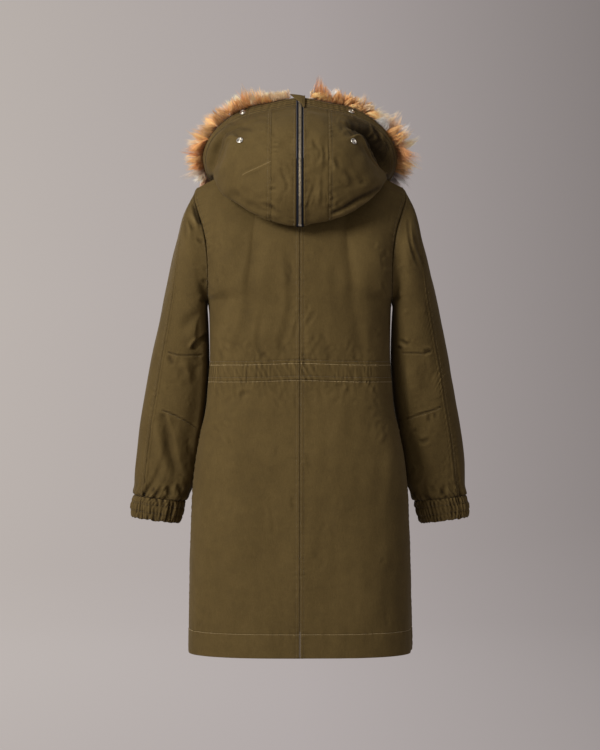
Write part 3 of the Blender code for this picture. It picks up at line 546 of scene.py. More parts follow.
def crease(panel, depth, width, points, lean=0.0, ends=(0.35, 0.35), shoulders=0.35, face=1, worn=0.5):
    """Draws one crease where x and z (in mm) say, on the cloth that faces back (face 1) or front (-1).

    depth and half width are in mm. A depth under 0 is a trough, over 0 a ridge. lean makes one flank wider,
    ends are the shares of its length that fade out, and worn is how much painted shade darkens a
    trough and painted light lightens a ridge.
    """
    path = smooth_path(np.array(points) * MM)[:, :2]
    width = width * MM
    place = panel.base[..., (0, 2)]
    facing = panel.outward[..., 1] * face
    reach = CREASE_REACH * width * (1 + abs(lean))
    near = (facing > 0.02) & (place > path.min(0) - reach).all(-1) & (place < path.max(0) + reach).all(-1)
    chosen = np.nonzero(near)
    if len(chosen[0]) == 0:
        return
    spot = place[chosen]
    start, step = path[:-1], np.diff(path, axis=0)
    length = np.linalg.norm(step, axis=1)
    from_start = spot[:, None] - start
    share = np.clip((from_start * step).sum(-1) / length**2, 0, 1)
    apart = from_start - share[..., None] * step
    distance = np.linalg.norm(apart, axis=-1)
    best = distance.argmin(1)
    row = np.arange(len(spot))
    before = np.concatenate([[0], np.cumsum(length)])[best]
    along = (before + share[row, best] * length[best]) / length.sum()
    hand = np.sign(step[best, 0] * apart[row, best, 1] - step[best, 1] * apart[row, best, 0])
    ratio = distance[row, best] / (width * (1 + lean * hand))
    shape = bell(ratio, 1) - shoulders * bell(ratio - SHOULDER_AT, SHOULDER_SPREAD)
    taper = smooth_step(along / max(ends[0], 1e-3)) * smooth_step((1 - along) / max(ends[1], 1e-3))
    seen = smooth_step((facing[chosen] - 0.04) / 0.36)
    amount = shape * taper * seen
    panel.lift[chosen] += depth * MM * amount
    # painted shade in a trough and painted light on a ridge, by how deep or high and how narrow the crease
    # is
    tone = worn * np.sign(depth) * min(1.0, abs(depth) / 1.5) * min(1.0, 4 * MM / width)
    panel.shade[chosen] += tone * amount


def seam(panel, which, rows=(7,), roll=0.9, pucker=0.45, short=7, long=17, band=0.45, seed=None, worn=0.5):
    """Turns an edge in at its seam and puckers the cloth along its topstitching rows (mm from the edge)."""
    distance, along = panel.edge(which)
    seed = seed or f"{panel.name}_{which}"
    edge_in = bell(distance, 1.5 * MM)
    panel.lift -= roll * MM * edge_in
    # painted shade where the edge turns in
    panel.shade -= 0.9 * worn * edge_in
    if not rows:
        return
    wave = waves(along, seed, short * MM, long * MM)
    outer = max(rows) * MM
    raised = smooth_step(distance / (2 * MM)) * smooth_step((outer + 0.6 * MM - distance) / (1.4 * MM))
    panel.lift += band * MM * raised
    for row in rows:
        near = bell(distance - row * MM, 1.1 * MM)
        panel.lift -= 0.4 * MM * near
        # painted shade in each stitched row
        panel.shade -= 0.35 * worn * near
    spread = smooth_step(distance / (3 * MM)) * np.exp(-np.clip(distance - outer, 0, None) / (9 * MM))
    panel.lift += pucker * MM * wave * spread
    # painted light and shade on the puckers
    panel.shade += 0.35 * worn * wave * spread


CRUMPLE_SPREAD = 35  # degrees either way of the usual slant
TROUGH_SHARE = 0.62  # of the short creases, the rest being ridges


def crumple(panel, count, box, depth, length, slant, face=1):
    """Seeded short creases inside a box of x and z (mm). slant is their usual angle in degrees."""
    random = seeded(f"{panel.name}_crumple_{box}")
    low_x, low_z, high_x, high_z = box
    for _ in range(count):
        x = low_x + (high_x - low_x) * random.random()
        z = low_z + (high_z - low_z) * random.random()
        angle = math.radians(slant + CRUMPLE_SPREAD * random.normal())
        reach = length * (0.5 + random.random()) / 2
        bend = random.normal() * reach * 0.25
        run, rise = math.cos(angle), math.sin(angle)
        points = (
            (x - run * reach, z - rise * reach),
            (x - rise * bend, z + run * bend),
            (x + run * reach, z + rise * reach),
        )
        height = depth * (0.5 + random.random()) * (-1 if random.random() < TROUGH_SHARE else 1)
        width = 2.6 + 1.6 * random.random()
        lean = random.normal() * 0.2
        crease(panel, height, width, points, lean, shoulders=0.5, face=face, worn=0.2)


def coarse(count, step):
    """Every step-th number up to count - 1, which is always the last."""
    numbers = list(range(0, count - 1, step))
    if count - 1 - numbers[-1] < step / 2 and len(numbers) > 1:
        numbers.pop()
    return numbers + [count - 1]


def lowest_near(lift, first, second, ring):
    """The lowest lift round each coarse point, so that the inner face never comes out through a trough."""
    spread = lift.copy()
    for _ in range(max(np.diff(first).max(), np.diff(second).max())):
        padded = np.pad(spread, ((1, 1), (0, 0)), mode="edge")
        spread = np.minimum(np.minimum(padded[:-2], padded[2:]), spread)
        padded = np.pad(spread, ((0, 0), (1, 1)), mode="wrap" if ring else "edge")
        spread = np.minimum(np.minimum(padded[:, :-2], padded[:, 2:]), spread)
    return spread[np.ix_(first, second)]


def make_sheet(panel, material, thickness=WALL, step=5):
    """The panel as a closed cloth wall: a fine outer face, a coarser inner one, and edges that join them."""
    outer = panel.points()
    rows, columns = outer.shape[:2]
    first = coarse(rows, step)
    second = list(range(0, columns, step)) if panel.ring else coarse(columns, step)
    corners = np.ix_(first, second)
    low = lowest_near(panel.lift, first, second, panel.ring)
    at_ends = np.isin(first, (0, rows - 1))[:, None]
    at_sides = np.isin(second, (0, columns - 1))[None] & (not panel.ring)
    low = np.where(at_ends | at_sides, panel.lift[corners], low)
    inner = panel.base[corners] + panel.outward[corners] * (low - thickness)[..., None]
    number = np.arange(rows * columns).reshape(rows, columns)
    inside = rows * columns + np.arange(len(first) * len(second)).reshape(len(first), len(second))
    faces = []
    if panel.ring:
        number = np.concatenate([number, number[:, :1]], axis=1)
        inside = np.concatenate([inside, inside[:, :1]], axis=1)
        second = second + [columns]
    for grid in (number, inside):
        faces += quads(grid)
    for fine, thick in ((number[0], inside[0]), (number[-1], inside[-1])):
        for k in range(len(second) - 1):
            faces.append([*fine[second[k]: second[k + 1] + 1].tolist(), int(thick[k + 1]), int(thick[k])])
    if not panel.ring:
        for fine, thick in ((number[:, 0], inside[:, 0]), (number[:, -1], inside[:, -1])):
            for k in range(len(first) - 1):
                faces.append([*fine[first[k]: first[k + 1] + 1].tolist(), int(thick[k + 1]), int(thick[k])])
    points = np.concatenate([outer.reshape(-1, 3), inner.reshape(-1, 3)])
    carried = (panel.shade, panel.first, panel.second)
    shade, across, along = (np.concatenate([each.ravel(), each[corners].ravel()]) for each in carried)
    shades = {"shade": np.clip(shade, -1, 1)}
    return build(f"cloth_{panel.name}", points, faces, material, shades, np.stack([across, along], axis=1))


def build(name, points, faces, material, values=None, plane=None, colours=None, recalculate=True):
    """A new mesh object. values are per-point numbers, and plane is each point's place on the flat cloth."""
    mesh = bpy.data.meshes.new(name)
    mesh.from_pydata(np.asarray(points).tolist(), [], faces)
    if recalculate:
        work = bmesh.new()
        work.from_mesh(mesh)
        bmesh.ops.recalc_face_normals(work, faces=work.faces)
        work.to_mesh(mesh)
        work.free()
    for key, numbers in (values or {}).items():
        mesh.attributes.new(key, "FLOAT", "POINT").data.foreach_set("value", np.asarray(numbers, np.float32))
    if colours is not None:
        shades = np.concatenate([colours, np.ones((len(colours), 1))], axis=1).astype(np.float32)
        mesh.color_attributes.new("coat", "FLOAT_COLOR", "POINT").data.foreach_set("color", shades.ravel())
    if plane is not None:
        corners = np.empty(len(mesh.loops), np.int32)
        mesh.loops.foreach_get("vertex_index", corners)
        layer = mesh.uv_layers.new(name="weave")
        layer.uv.foreach_set("vector", plane[corners].astype(np.float32).ravel())
    mesh.materials.append(material)
    mesh.shade_smooth()
    piece = bpy.data.objects.new(name, mesh)
    bpy.context.scene.collection.objects.link(piece)
    return piece


# ---------------------------------------------------------------------------------------------------------
# Materials
# ---------------------------------------------------------------------------------------------------------


class Nodes:
    """Short names for making a material's nodes."""

    def __init__(self, name):
        self.material = bpy.data.materials.new(name)
        self.material.use_nodes = True
        self.tree = self.material.node_tree
        self.shader = self.tree.nodes["Principled BSDF"]

    def add(self, kind, inputs=None, **settings):
        node = self.tree.nodes.new(kind)
        for key, value in settings.items():
            setattr(node, key, value)
        for key, value in (inputs or {}).items():
            self.put(node.inputs[key], value)
        return node

    def put(self, socket, value):
        if isinstance(value, bpy.types.NodeSocket):
            self.tree.links.new(value, socket)
        else:
            socket.default_value = value

    def set(self, **inputs):
        for key, value in inputs.items():
            self.put(self.shader.inputs[key.replace("_", " ")], value)

    def math(self, operation, first, second=0.0, third=0.0):
        node = self.add("ShaderNodeMath", operation=operation)
        for socket, value in zip(node.inputs, (first, second, third)):
            self.put(socket, value)
        return node.outputs[0]

    def noise(self, where, scale, detail=3.0, roughness=0.55):
        inputs = {"Vector": where, "Scale": scale, "Detail": detail, "Roughness": roughness}
        return self.add("ShaderNodeTexNoise", inputs).outputs["Fac"]

    def place(self):
        return self.add("ShaderNodeTexCoord").outputs["Object"]

    def plane(self):
        return self.add("ShaderNodeUVMap", uv_map="weave").outputs[0]

    def ribs(self, plane, pitch, direction, **inputs):
        """Even ribs this far apart on the cloth's plane. A wave texture repeats every 2 pi / 10 units."""
        scaled = {"Vector": plane, "Scale": 0.628 / pitch, **inputs}
        node = self.add("ShaderNodeTexWave", scaled, wave_type="BANDS", bands_direction=direction)
        return node.outputs["Fac"]

    def scaled(self, where, scale):
        return self.add("ShaderNodeMapping", {"Vector": where, "Scale": scale}).outputs[0]

    def ramp(self, value, *stops):
        node = self.add("ShaderNodeValToRGB", {"Fac": value})
        elements = node.color_ramp.elements
        while len(elements) < len(stops):
            elements.new(0.5)
        for element, (position, colour) in zip(elements, stops):
            element.position = position
            element.color = (*colour, 1)
        return node.outputs["Color"]

    def mix(self, factor, first, second, blend="MIX"):
        node = self.add("ShaderNodeMix", data_type="RGBA", blend_type=blend)
        self.put(node.inputs[0], factor)
        self.put(node.inputs[6], first if isinstance(first, bpy.types.NodeSocket) else (*first, 1))
        self.put(node.inputs[7], second if isinstance(second, bpy.types.NodeSocket) else (*second, 1))
        return node.outputs[2]

    def bump(self, height, strength, distance, normal=None):
        node = self.add("ShaderNodeBump", {"Height": height, "Strength": strength, "Distance": distance})
        if normal is not None:
            self.put(node.inputs["Normal"], normal)
        return node.outputs[0]


OLIVE_DEEP = (0.020, 0.012, 0.004)
OLIVE_DARK = (0.061, 0.040, 0.0125)
OLIVE_MID = (0.092, 0.0615, 0.0200)
OLIVE_LIGHT = (0.146, 0.101, 0.038)
TWILL_PITCH = 0.9 * MM


def cloth_material(name):
    """Washed cotton twill: diagonal ribs, uneven dye in three sizes, and painted light on raised cloth with
    painted shade in its hollows.
    """
    n = Nodes(name)
    plane = n.plane()
    place = n.place()
    clouds = n.noise(place, 9.0, 2.0)
    blotches = n.noise(place, 55.0, 3.0)
    specks = n.noise(place, 420.0, 2.0)
    slubs = n.noise(n.scaled(plane, (1500, 55, 1)), 1.0, 2.0)
    worn = n.add("ShaderNodeAttribute", attribute_name="shade").outputs["Fac"]
    twill = n.ribs(plane, TWILL_PITCH * 1.414, "DIAGONAL")
    tone = n.math("MULTIPLY_ADD", clouds, 0.36, 0.29)
    for pattern, amount, middle in ((blotches, 0.26, -0.13), (specks, 0.34, -0.17), (slubs, 0.34, -0.17)):
        tone = n.math("ADD", tone, n.math("MULTIPLY_ADD", pattern, amount, middle))
    # the shade attribute is painted light on raised cloth and painted shade in hollows
    tone = n.math("ADD", tone, n.math("MULTIPLY", worn, 0.46))
    tone = n.math("ADD", tone, n.math("MULTIPLY_ADD", twill, 0.14, -0.07))
    olives = ((0.0, OLIVE_DEEP), (0.22, OLIVE_DARK), (0.5, OLIVE_MID), (0.98, OLIVE_LIGHT))
    n.set(Base_Color=n.ramp(tone, *olives))
    rough = n.math("MULTIPLY_ADD", blotches, 0.12, 0.80)
    n.set(Roughness=rough, Specular_IOR_Level=0.16, Sheen_Weight=0.07, Sheen_Roughness=0.4)
    n.set(Sheen_Tint=(0.75, 0.62, 0.40, 1))
    crisp = n.math("ABSOLUTE", n.math("SUBTRACT", n.noise(n.scaled(place, (1, 1, 0.6)), 70.0, 3.0), 0.5))
    sharp, rolling = n.math("MULTIPLY", crisp, -1.6), n.math("MULTIPLY", n.noise(place, 38.0, 2.0), 1.3)
    soft = n.bump(n.math("ADD", sharp, rolling), 0.42, 1.0 * MM)
    weave = n.math("ADD", twill, n.math("MULTIPLY", slubs, 0.9))
    n.set(Normal=n.bump(weave, 0.22, 0.22 * MM, soft))
    return n.material


def thread_material(name, colour):
    n = Nodes(name)
    place = n.place()
    tone = n.noise(place, 300.0, 2.0)
    dark = tuple(c * 0.62 for c in colour)
    n.set(Base_Color=n.ramp(tone, (0.3, dark), (0.7, colour)))
    n.set(Roughness=0.6, Specular_IOR_Level=0.3, Sheen_Weight=0.2)
    n.set(Normal=n.bump(n.noise(place, 1900.0, 1.0), 0.3, 0.2 * MM))
    return n.material


def tape_material(name):
    n = Nodes(name)
    plane = n.plane()
    place = n.place()
    ribs = n.ribs(plane, 1.1 * MM, "Y")
    fuzz = n.noise(place, 700.0, 2.0)
    tone = n.math("MULTIPLY_ADD", ribs, 0.3, n.math("MULTIPLY", fuzz, 0.6))
    n.set(Base_Color=n.ramp(tone, (0.1, (0.004, 0.005, 0.008)), (0.9, (0.012, 0.014, 0.022))))
    n.set(Roughness=0.85, Specular_IOR_Level=0.1)
    n.set(Normal=n.bump(ribs, 0.3, 0.2 * MM))
    return n.material


def metal_material(name, colour, rough=0.3, tarnish=(0.20, 0.19, 0.17)):
    """Nickel or brass with fine scratches and dull patches of tarnish."""
    n = Nodes(name)
    place = n.place()
    patina = n.noise(place, 260.0, 3.0)
    scratches = n.noise(n.scaled(place, (300, 300, 4000)), 1.0, 2.0)
    n.set(Base_Color=n.ramp(patina, (0.3, tarnish), (0.52, colour)), Metallic=1.0)
    n.set(Roughness=n.math("MULTIPLY_ADD", patina, 0.25, rough - 0.08))
    n.set(Normal=n.bump(scratches, 0.12, 0.1 * MM))
    return n.material


def fur_material(name):
    n = Nodes(name)
    colour = n.add("ShaderNodeAttribute", attribute_name="coat").outputs["Color"]
    streaks = n.noise(n.place(), 260.0, 2.0)
    tinted = n.mix(n.math("MULTIPLY_ADD", streaks, 0.8, -0.12), colour, (0.30, 0.17, 0.09), "MULTIPLY")
    n.set(Base_Color=n.mix(0.22, colour, tinted), Roughness=0.5, Specular_IOR_Level=0.4, Sheen_Weight=0.4,
          Sheen_Roughness=0.4)
    return n.material


# ---------------------------------------------------------------------------------------------------------
# The cloth panels and what is drawn on them
# ---------------------------------------------------------------------------------------------------------

TORSO_LENGTH = 681 * MM  # hem to underarm
YOKE_LENGTH = 285 * MM  # underarm to shoulder, along the cloth
QUARTER = 250 * MM  # centre line to side seam, along the cloth
HEM_ROW = 45 * MM  # the hem's topstitching above its edge
UNDERARM = -200 * MM  # the waist's and hem's rows all lie below this height
WAIST_ROWS = {"top_faint": -345, "top": -351.5, "low_faint": -375.5, "low": -383.8}  # heights in mm


def waist_arch(x):
    """The casing's rows rise a little at the centre back."""
    return 3.0 * MM * bell(x, 62 * MM)


def torso_panel(name, back, side, base, fine):
    hem = TORSO["height"][0]
    length = TORSO_LENGTH + YOKE_LENGTH
    closer_at = [(0, 4 * MM), (HEM_ROW, 4 * MM), (length, 8 * MM)]
    closer_at += [(height * MM - hem, 4.5 * MM) for height in WAIST_ROWS.values()]
    position = spaced(length, base, fine, closer_at)
    above = position - TORSO_LENGTH
    up = np.where(above < 0, position / TORSO_LENGTH, 1 + above / YOKE_LENGTH)
    up[np.argmin(np.abs(up - 1))] = 1
    across = spaced(QUARTER, base, fine, [(0, 9 * MM), (QUARTER, 9 * MM)]) / QUARTER
    across[np.argmin(np.abs(across - NECK_SHARE))] = NECK_SHARE
    start = 0 if back else ZIP_HALF / QUARTER
    grid = np.meshgrid(start + across * (1 - start), up, indexing="ij")
    points = torso(*grid, back)
    points[0, :, 0] = SEAM_GAP / 2 if back else ZIP_HALF + SEAM_GAP / 2
    return Panel(name, points, -1 if back else 1, side)


def height_band(z, low, high, low_fade, high_fade):
    """0 outside the heights low to high, and 1 inside them beyond the fades at their ends, all in mm."""
    return smooth_step((z - low * MM) / (low_fade * MM)) * smooth_step((high * MM - z) / (high_fade * MM))


WAIST_WAVES = (
    # seed, lean, shortest and longest in mm, how far they reach beyond the rows in mm, height in mm, tone of
    # the painted light and shade that follow them
    ("gathers", 0.25, 5.5, 10, 7, 0.95, 0.44),
    ("pleats", -0.35, 8, 18, 12, 1.1, 0.34),
    ("folds", 0.10, 18, 40, 26, 1.1, 0.12),
)


def waist_gathers(panel, face):
    """The drawcord casing: a raised channel between its rows, with short upright puckers in and near it."""
    x, z = panel.base[..., 0], panel.base[..., 2]
    z = z - (waist_arch(x) if face > 0 else 0)
    top, low = WAIST_ROWS["top"], WAIST_ROWS["low"]
    girth = panel.first * panel.side
    panel.lift += 1.3 * MM * height_band(z, low, top, 3, 3)
    for height in WAIST_ROWS.values():
        near = bell(z - height * MM, 1.5 * MM)
        panel.lift -= 0.65 * MM * near
        # painted shade in each stitched row
        panel.shade -= 0.22 * near
    outside = np.clip(np.abs(z - (top + low) / 2 * MM) - (top - low) / 2 * MM, 0, None)
    uneven = 0.6 + 0.4 * waves(girth, f"{panel.name}_uneven", 45 * MM, 110 * MM, 4)
    wavy = 2 * MM * np.sin(z / (9 * MM))
    for seed, lean, short, long, reach, height, tone in WAIST_WAVES:
        wave = waves(girth + lean * z + wavy, f"{panel.name}_{seed}", short * MM, long * MM, 9)
        sharp = np.sign(wave) * np.abs(wave) ** 1.35
        fades = np.exp(-outside / (reach * MM)) * uneven
        panel.lift += height * MM * sharp * fades
        # painted light on the gathers' ridges and painted shade in their troughs
        panel.shade += tone * sharp * fades


BACK_CREASES = (
    # depth, half width, points, and what differs from a crease's usual values
    (-3.0, 10, ((80.7, -84), (85.2, -132.7), (94.6, -180.5), (97, -227.9), (106.6, -275.3), (121.1, -311),
      (129, -342)),
     {"lean": -0.25, "ends": (0.15, 0.1), "worn": 0.45}),
    (-2.4, 7, ((31, -104), (22, -157), (18.6, -218.7), (25.6, -275.5), (35.2, -311.2), (28.1, -342)),
     {"ends": (0.3, 0.1)}),
    (-1.5, 5, ((68.4, -228.1), (75.6, -263.7), (79.5, -311.2), (66.2, -342)), {"ends": (0.4, 0.1)}),
    (2.2, 11, ((135, -220), (149, -275), (164, -318)), {}),
    (2.2, 12, ((107, -150), (120, -200), (128, -250), (138, -300)), {}),
    (-2.2, 11, ((-86.1, -98), (-95.4, -180.5), (-101.2, -250.6), (-112.8, -298.1), (-119.6, -342)),
     {"lean": 0.3, "ends": (0.15, 0.1), "worn": 0.45}),
    (1.9, 10, ((-107, -100), (-118, -180), (-126, -228), (-131, -298), (-134, -335)), {"ends": (0.2, 0.3)}),
    (-2.0, 11, ((-70.7, -132.9), (-68.8, -228.1), (-86, -284.9)), {}),
    (-2.4, 9, ((-28.9, -280), (-44.1, -313.5), (-59.3, -344)), {"ends": (0.4, 0.1)}),
    (-1.5, 4, ((-31, -246), (-20, -262), (-10, -277)), {"shoulders": 0.6}),
    (-1.0, 3.5, ((-19, -262), (-12, -280)), {"shoulders": 0.6}),
    (1.4, 5, ((-12, -285), (-18, -312), (-14, -338)), {}),
    (-1.6, 6, ((-160, -250), (-166, -290), (-158, -325)), {}),
    (-1.4, 4, ((160, -318), (150, -332), (146, -346)), {}),
    (-1.8, 4, ((124, -413), (106, -404), (90, -403)), {"shoulders": 0.6}),
    (-1.3, 4, ((152, -425), (136, -417), (128, -404)), {}),
    (-2.8, 17, ((98, -430), (95, -490), (93, -526), (102, -575)), {"worn": 0.2}),
    (-1.2, 4, ((-13, -515), (-19, -552)), {"shoulders": 0.5}),
    (-1.0, 4, ((40, -500), (51, -528)), {}),
    (-0.9, 4, ((28, -446), (45, -448)), {}),
    (3.6, 16, ((-136, -440), (-160, -490), (-173, -558), (-172, -622)), {"lean": -0.3, "worn": 0.25}),
    (-1.6, 6, ((-158, -398), (-176, -420), (-184, -448)), {}),
    (-2.2, 20, ((-95, -420), (-108, -500), (-100, -590)), {"worn": 0.15}),
    (-2.0, 26, ((40, -600), (46, -700), (38, -820)), {"worn": 0.1}),
    (2.0, 24, ((118, -600), (124, -720), (120, -850)), {"worn": 0.1}),
    (-2.0, 24, ((-60, -620), (-66, -740), (-58, -850)), {"worn": 0.1}),
    (1.8, 22, ((-130, -650), (-138, -760), (-134, -870)), {"worn": 0.1}),
)

FRONT_CREASES = (
    (-3.4, 10, ((92, -100), (98, -170), (104, -240), (116, -300), (124, -342)), {"lean": 0.2}),
    (-2.4, 7, ((44, -120), (36, -200), (42, -280), (50, -340)), {}),
    (2.4, 11, ((130, -200), (142, -270), (150, -330)), {}),
    (-3.0, 10, ((-84, -110), (-92, -180), (-100, -250), (-114, -310), (-120, -342)), {"lean": -0.2}),
    (2.4, 10, ((-112, -150), (-122, -220), (-132, -300)), {}),
    (-2.0, 8, ((-46, -150), (-40, -230), (-52, -300), (-48, -342)), {}),
    (-1.6, 5, ((134, -404), (112, -410), (92, -402)), {}),
    (-1.6, 5, ((-150, -406), (-128, -414), (-112, -404)), {}),
    (-2.6, 18, ((86, -430), (90, -520), (84, -620)), {"worn": 0.2}),
    (2.8, 18, ((150, -450), (164, -540), (166, -640)), {"worn": 0.2}),
    (-2.4, 18, ((-92, -430), (-96, -520), (-90, -630)), {"worn": 0.2}),
    (2.8, 18, ((-146, -450), (-164, -540), (-166, -640)), {"worn": 0.2}),
    (-2.0, 24, ((60, -640), (66, -740), (60, -850)), {"worn": 0.1}),
    (-2.0, 24, ((-58, -650), (-64, -750), (-60, -860)), {"worn": 0.1}),
)


# Where the body and sleeves crumple: a box of x and z in mm on the wearer's left, a count and a usual slant.
BODY_CRUMPLES = (
    ((6, -345, 172, -300), 26, 90),
    ((6, -425, 176, -388), 24, 95),
    ((140, -300, 175, -60), 14, 70),
    ((4, -300, 24, -120), 9, 80),
    ((120, -500, 180, -400), 10, 60),
    ((8, -850, 205, -560), 10, 85),
)
SLEEVE_CRUMPLES = (
    ((178, -290, 215, -150), 8, 35),
    ((182, -345, 262, -300), 10, 15),
    ((188, -430, 270, -350), 8, 60),
    ((198, -500, 276, -440), 10, 30),
    ((205, -585, 318, -500), 12, 75),
    ((228, -606, 322, -570), 26, 80),
    ((235, -500, 322, -80), 16, 80),
)


def mirrored_box(box, side):
    low_x, low_z, high_x, high_z = box
    return (low_x, low_z, high_x, high_z) if side > 0 else (-high_x, low_z, -low_x, high_z)


def draw(panel, creases, face=1, strength=1.0):
    for depth, width, points, options in creases:
        crease(panel, depth * strength, width, points, face=face, **options)


CLEAR_HEIGHTS = (-480, -225)  # where sleeve and body face each other, in mm
CLEAR_LIFT = -0.8 * MM  # the highest that the cloth may stand there


def keep_clear(panel, facing, start):
    """Holds creases back where a sleeve and the body face each other, so that they stay apart there."""
    near = height_band(panel.base[..., 2], *CLEAR_HEIGHTS, 30, 30) * smooth_step((facing - start) / 0.3)
    panel.lift -= near * np.maximum(panel.lift - CLEAR_LIFT, 0)


TORSO_HALVES = {
    # grid spacing, height of the wide drift, and height, size and stretch of the close one, all in mm; the
    # creases with the way they face and their strength; the crumples' length; and the centre seam
    "back": {
        "grid": (3.3, 1.15), "wide": 1.0, "close": (0.45, 34, 2.2), "creases": (BACK_CREASES, 1, 0.56),
        "crumple": 24, "centre": {"rows": (7,), "roll": 0.35, "seed": "centre_back", "worn": 0.12},
    },
    "front": {
        "grid": (4.2, 1.4), "wide": 1.5, "close": (0.5, 40, 1.6), "creases": (FRONT_CREASES, -1, 0.8),
        "crumple": 26, "centre": {"rows": (8,), "roll": 0.5},
    },
}


def make_torso(side, name_side, cloth):
    """Back and front of one side."""
    panels, sheets = {}, {}
    for key, look in TORSO_HALVES.items():
        coarse_step, fine_step = look["grid"]
        panel = torso_panel(f"{key}_{name_side}", key == "back", side, coarse_step * MM, fine_step * MM)
        creases, face, strength = look["creases"]
        height, size, stretch = look["close"]
        soft = panel.inside(("first_low", "first_high"), 14 * MM) * panel.inside(("second_high",), 10 * MM)
        panel.lift += look["wide"] * MM * drift(panel.base, f"{panel.name}_wide", 110 * MM, (1, 1, 3)) * soft
        close = drift(panel.base, f"{panel.name}_close", size * MM, (1, 1, stretch))
        panel.lift += height * MM * close * soft
        draw(panel, creases, face, strength)
        for box, count, slant in BODY_CRUMPLES:
            crumple(panel, count, mirrored_box(box, side), 0.8, look["crumple"], slant * side, face=face)
        waist_gathers(panel, face)
        seam(panel, "first_low", pucker=0.5, **look["centre"])
        seam(panel, "first_high", (6,), pucker=0.5)
        hem_finish(panel)
        panel.lift -= 0.8 * MM * bell(panel.edge("second_high")[0], 1.6 * MM)
        keep_clear(panel, panel.outward[..., 0] * side, 0.55)
        panels[key] = panel
        sheets[panel.name] = make_sheet(panel, cloth)
    return panels, sheets


def hem_finish(panel):
    """The turned-up hem: a little thicker up to its row of stitches."""
    distance, along = panel.edge("second_low")
    row = bell(distance - HEM_ROW, 1.4 * MM)
    panel.lift -= 0.55 * MM * row
    # painted shade in the hem's stitched row
    panel.shade -= 0.3 * row
    panel.lift += 0.5 * MM * smooth_step((HEM_ROW - distance) / (3 * MM))
    panel.lift -= 0.9 * MM * bell(distance, 1.6 * MM)
    panel.shade += 0.45 * bell(distance, 2.2 * MM)
    wave = waves(along, f"{panel.name}_hem", 9 * MM, 22 * MM)
    near = np.exp(-np.abs(distance - HEM_ROW) / (8 * MM))
    panel.lift += 0.45 * MM * wave * near
    # painted light and shade on the puckers by the row
    panel.shade += 0.15 * wave * near


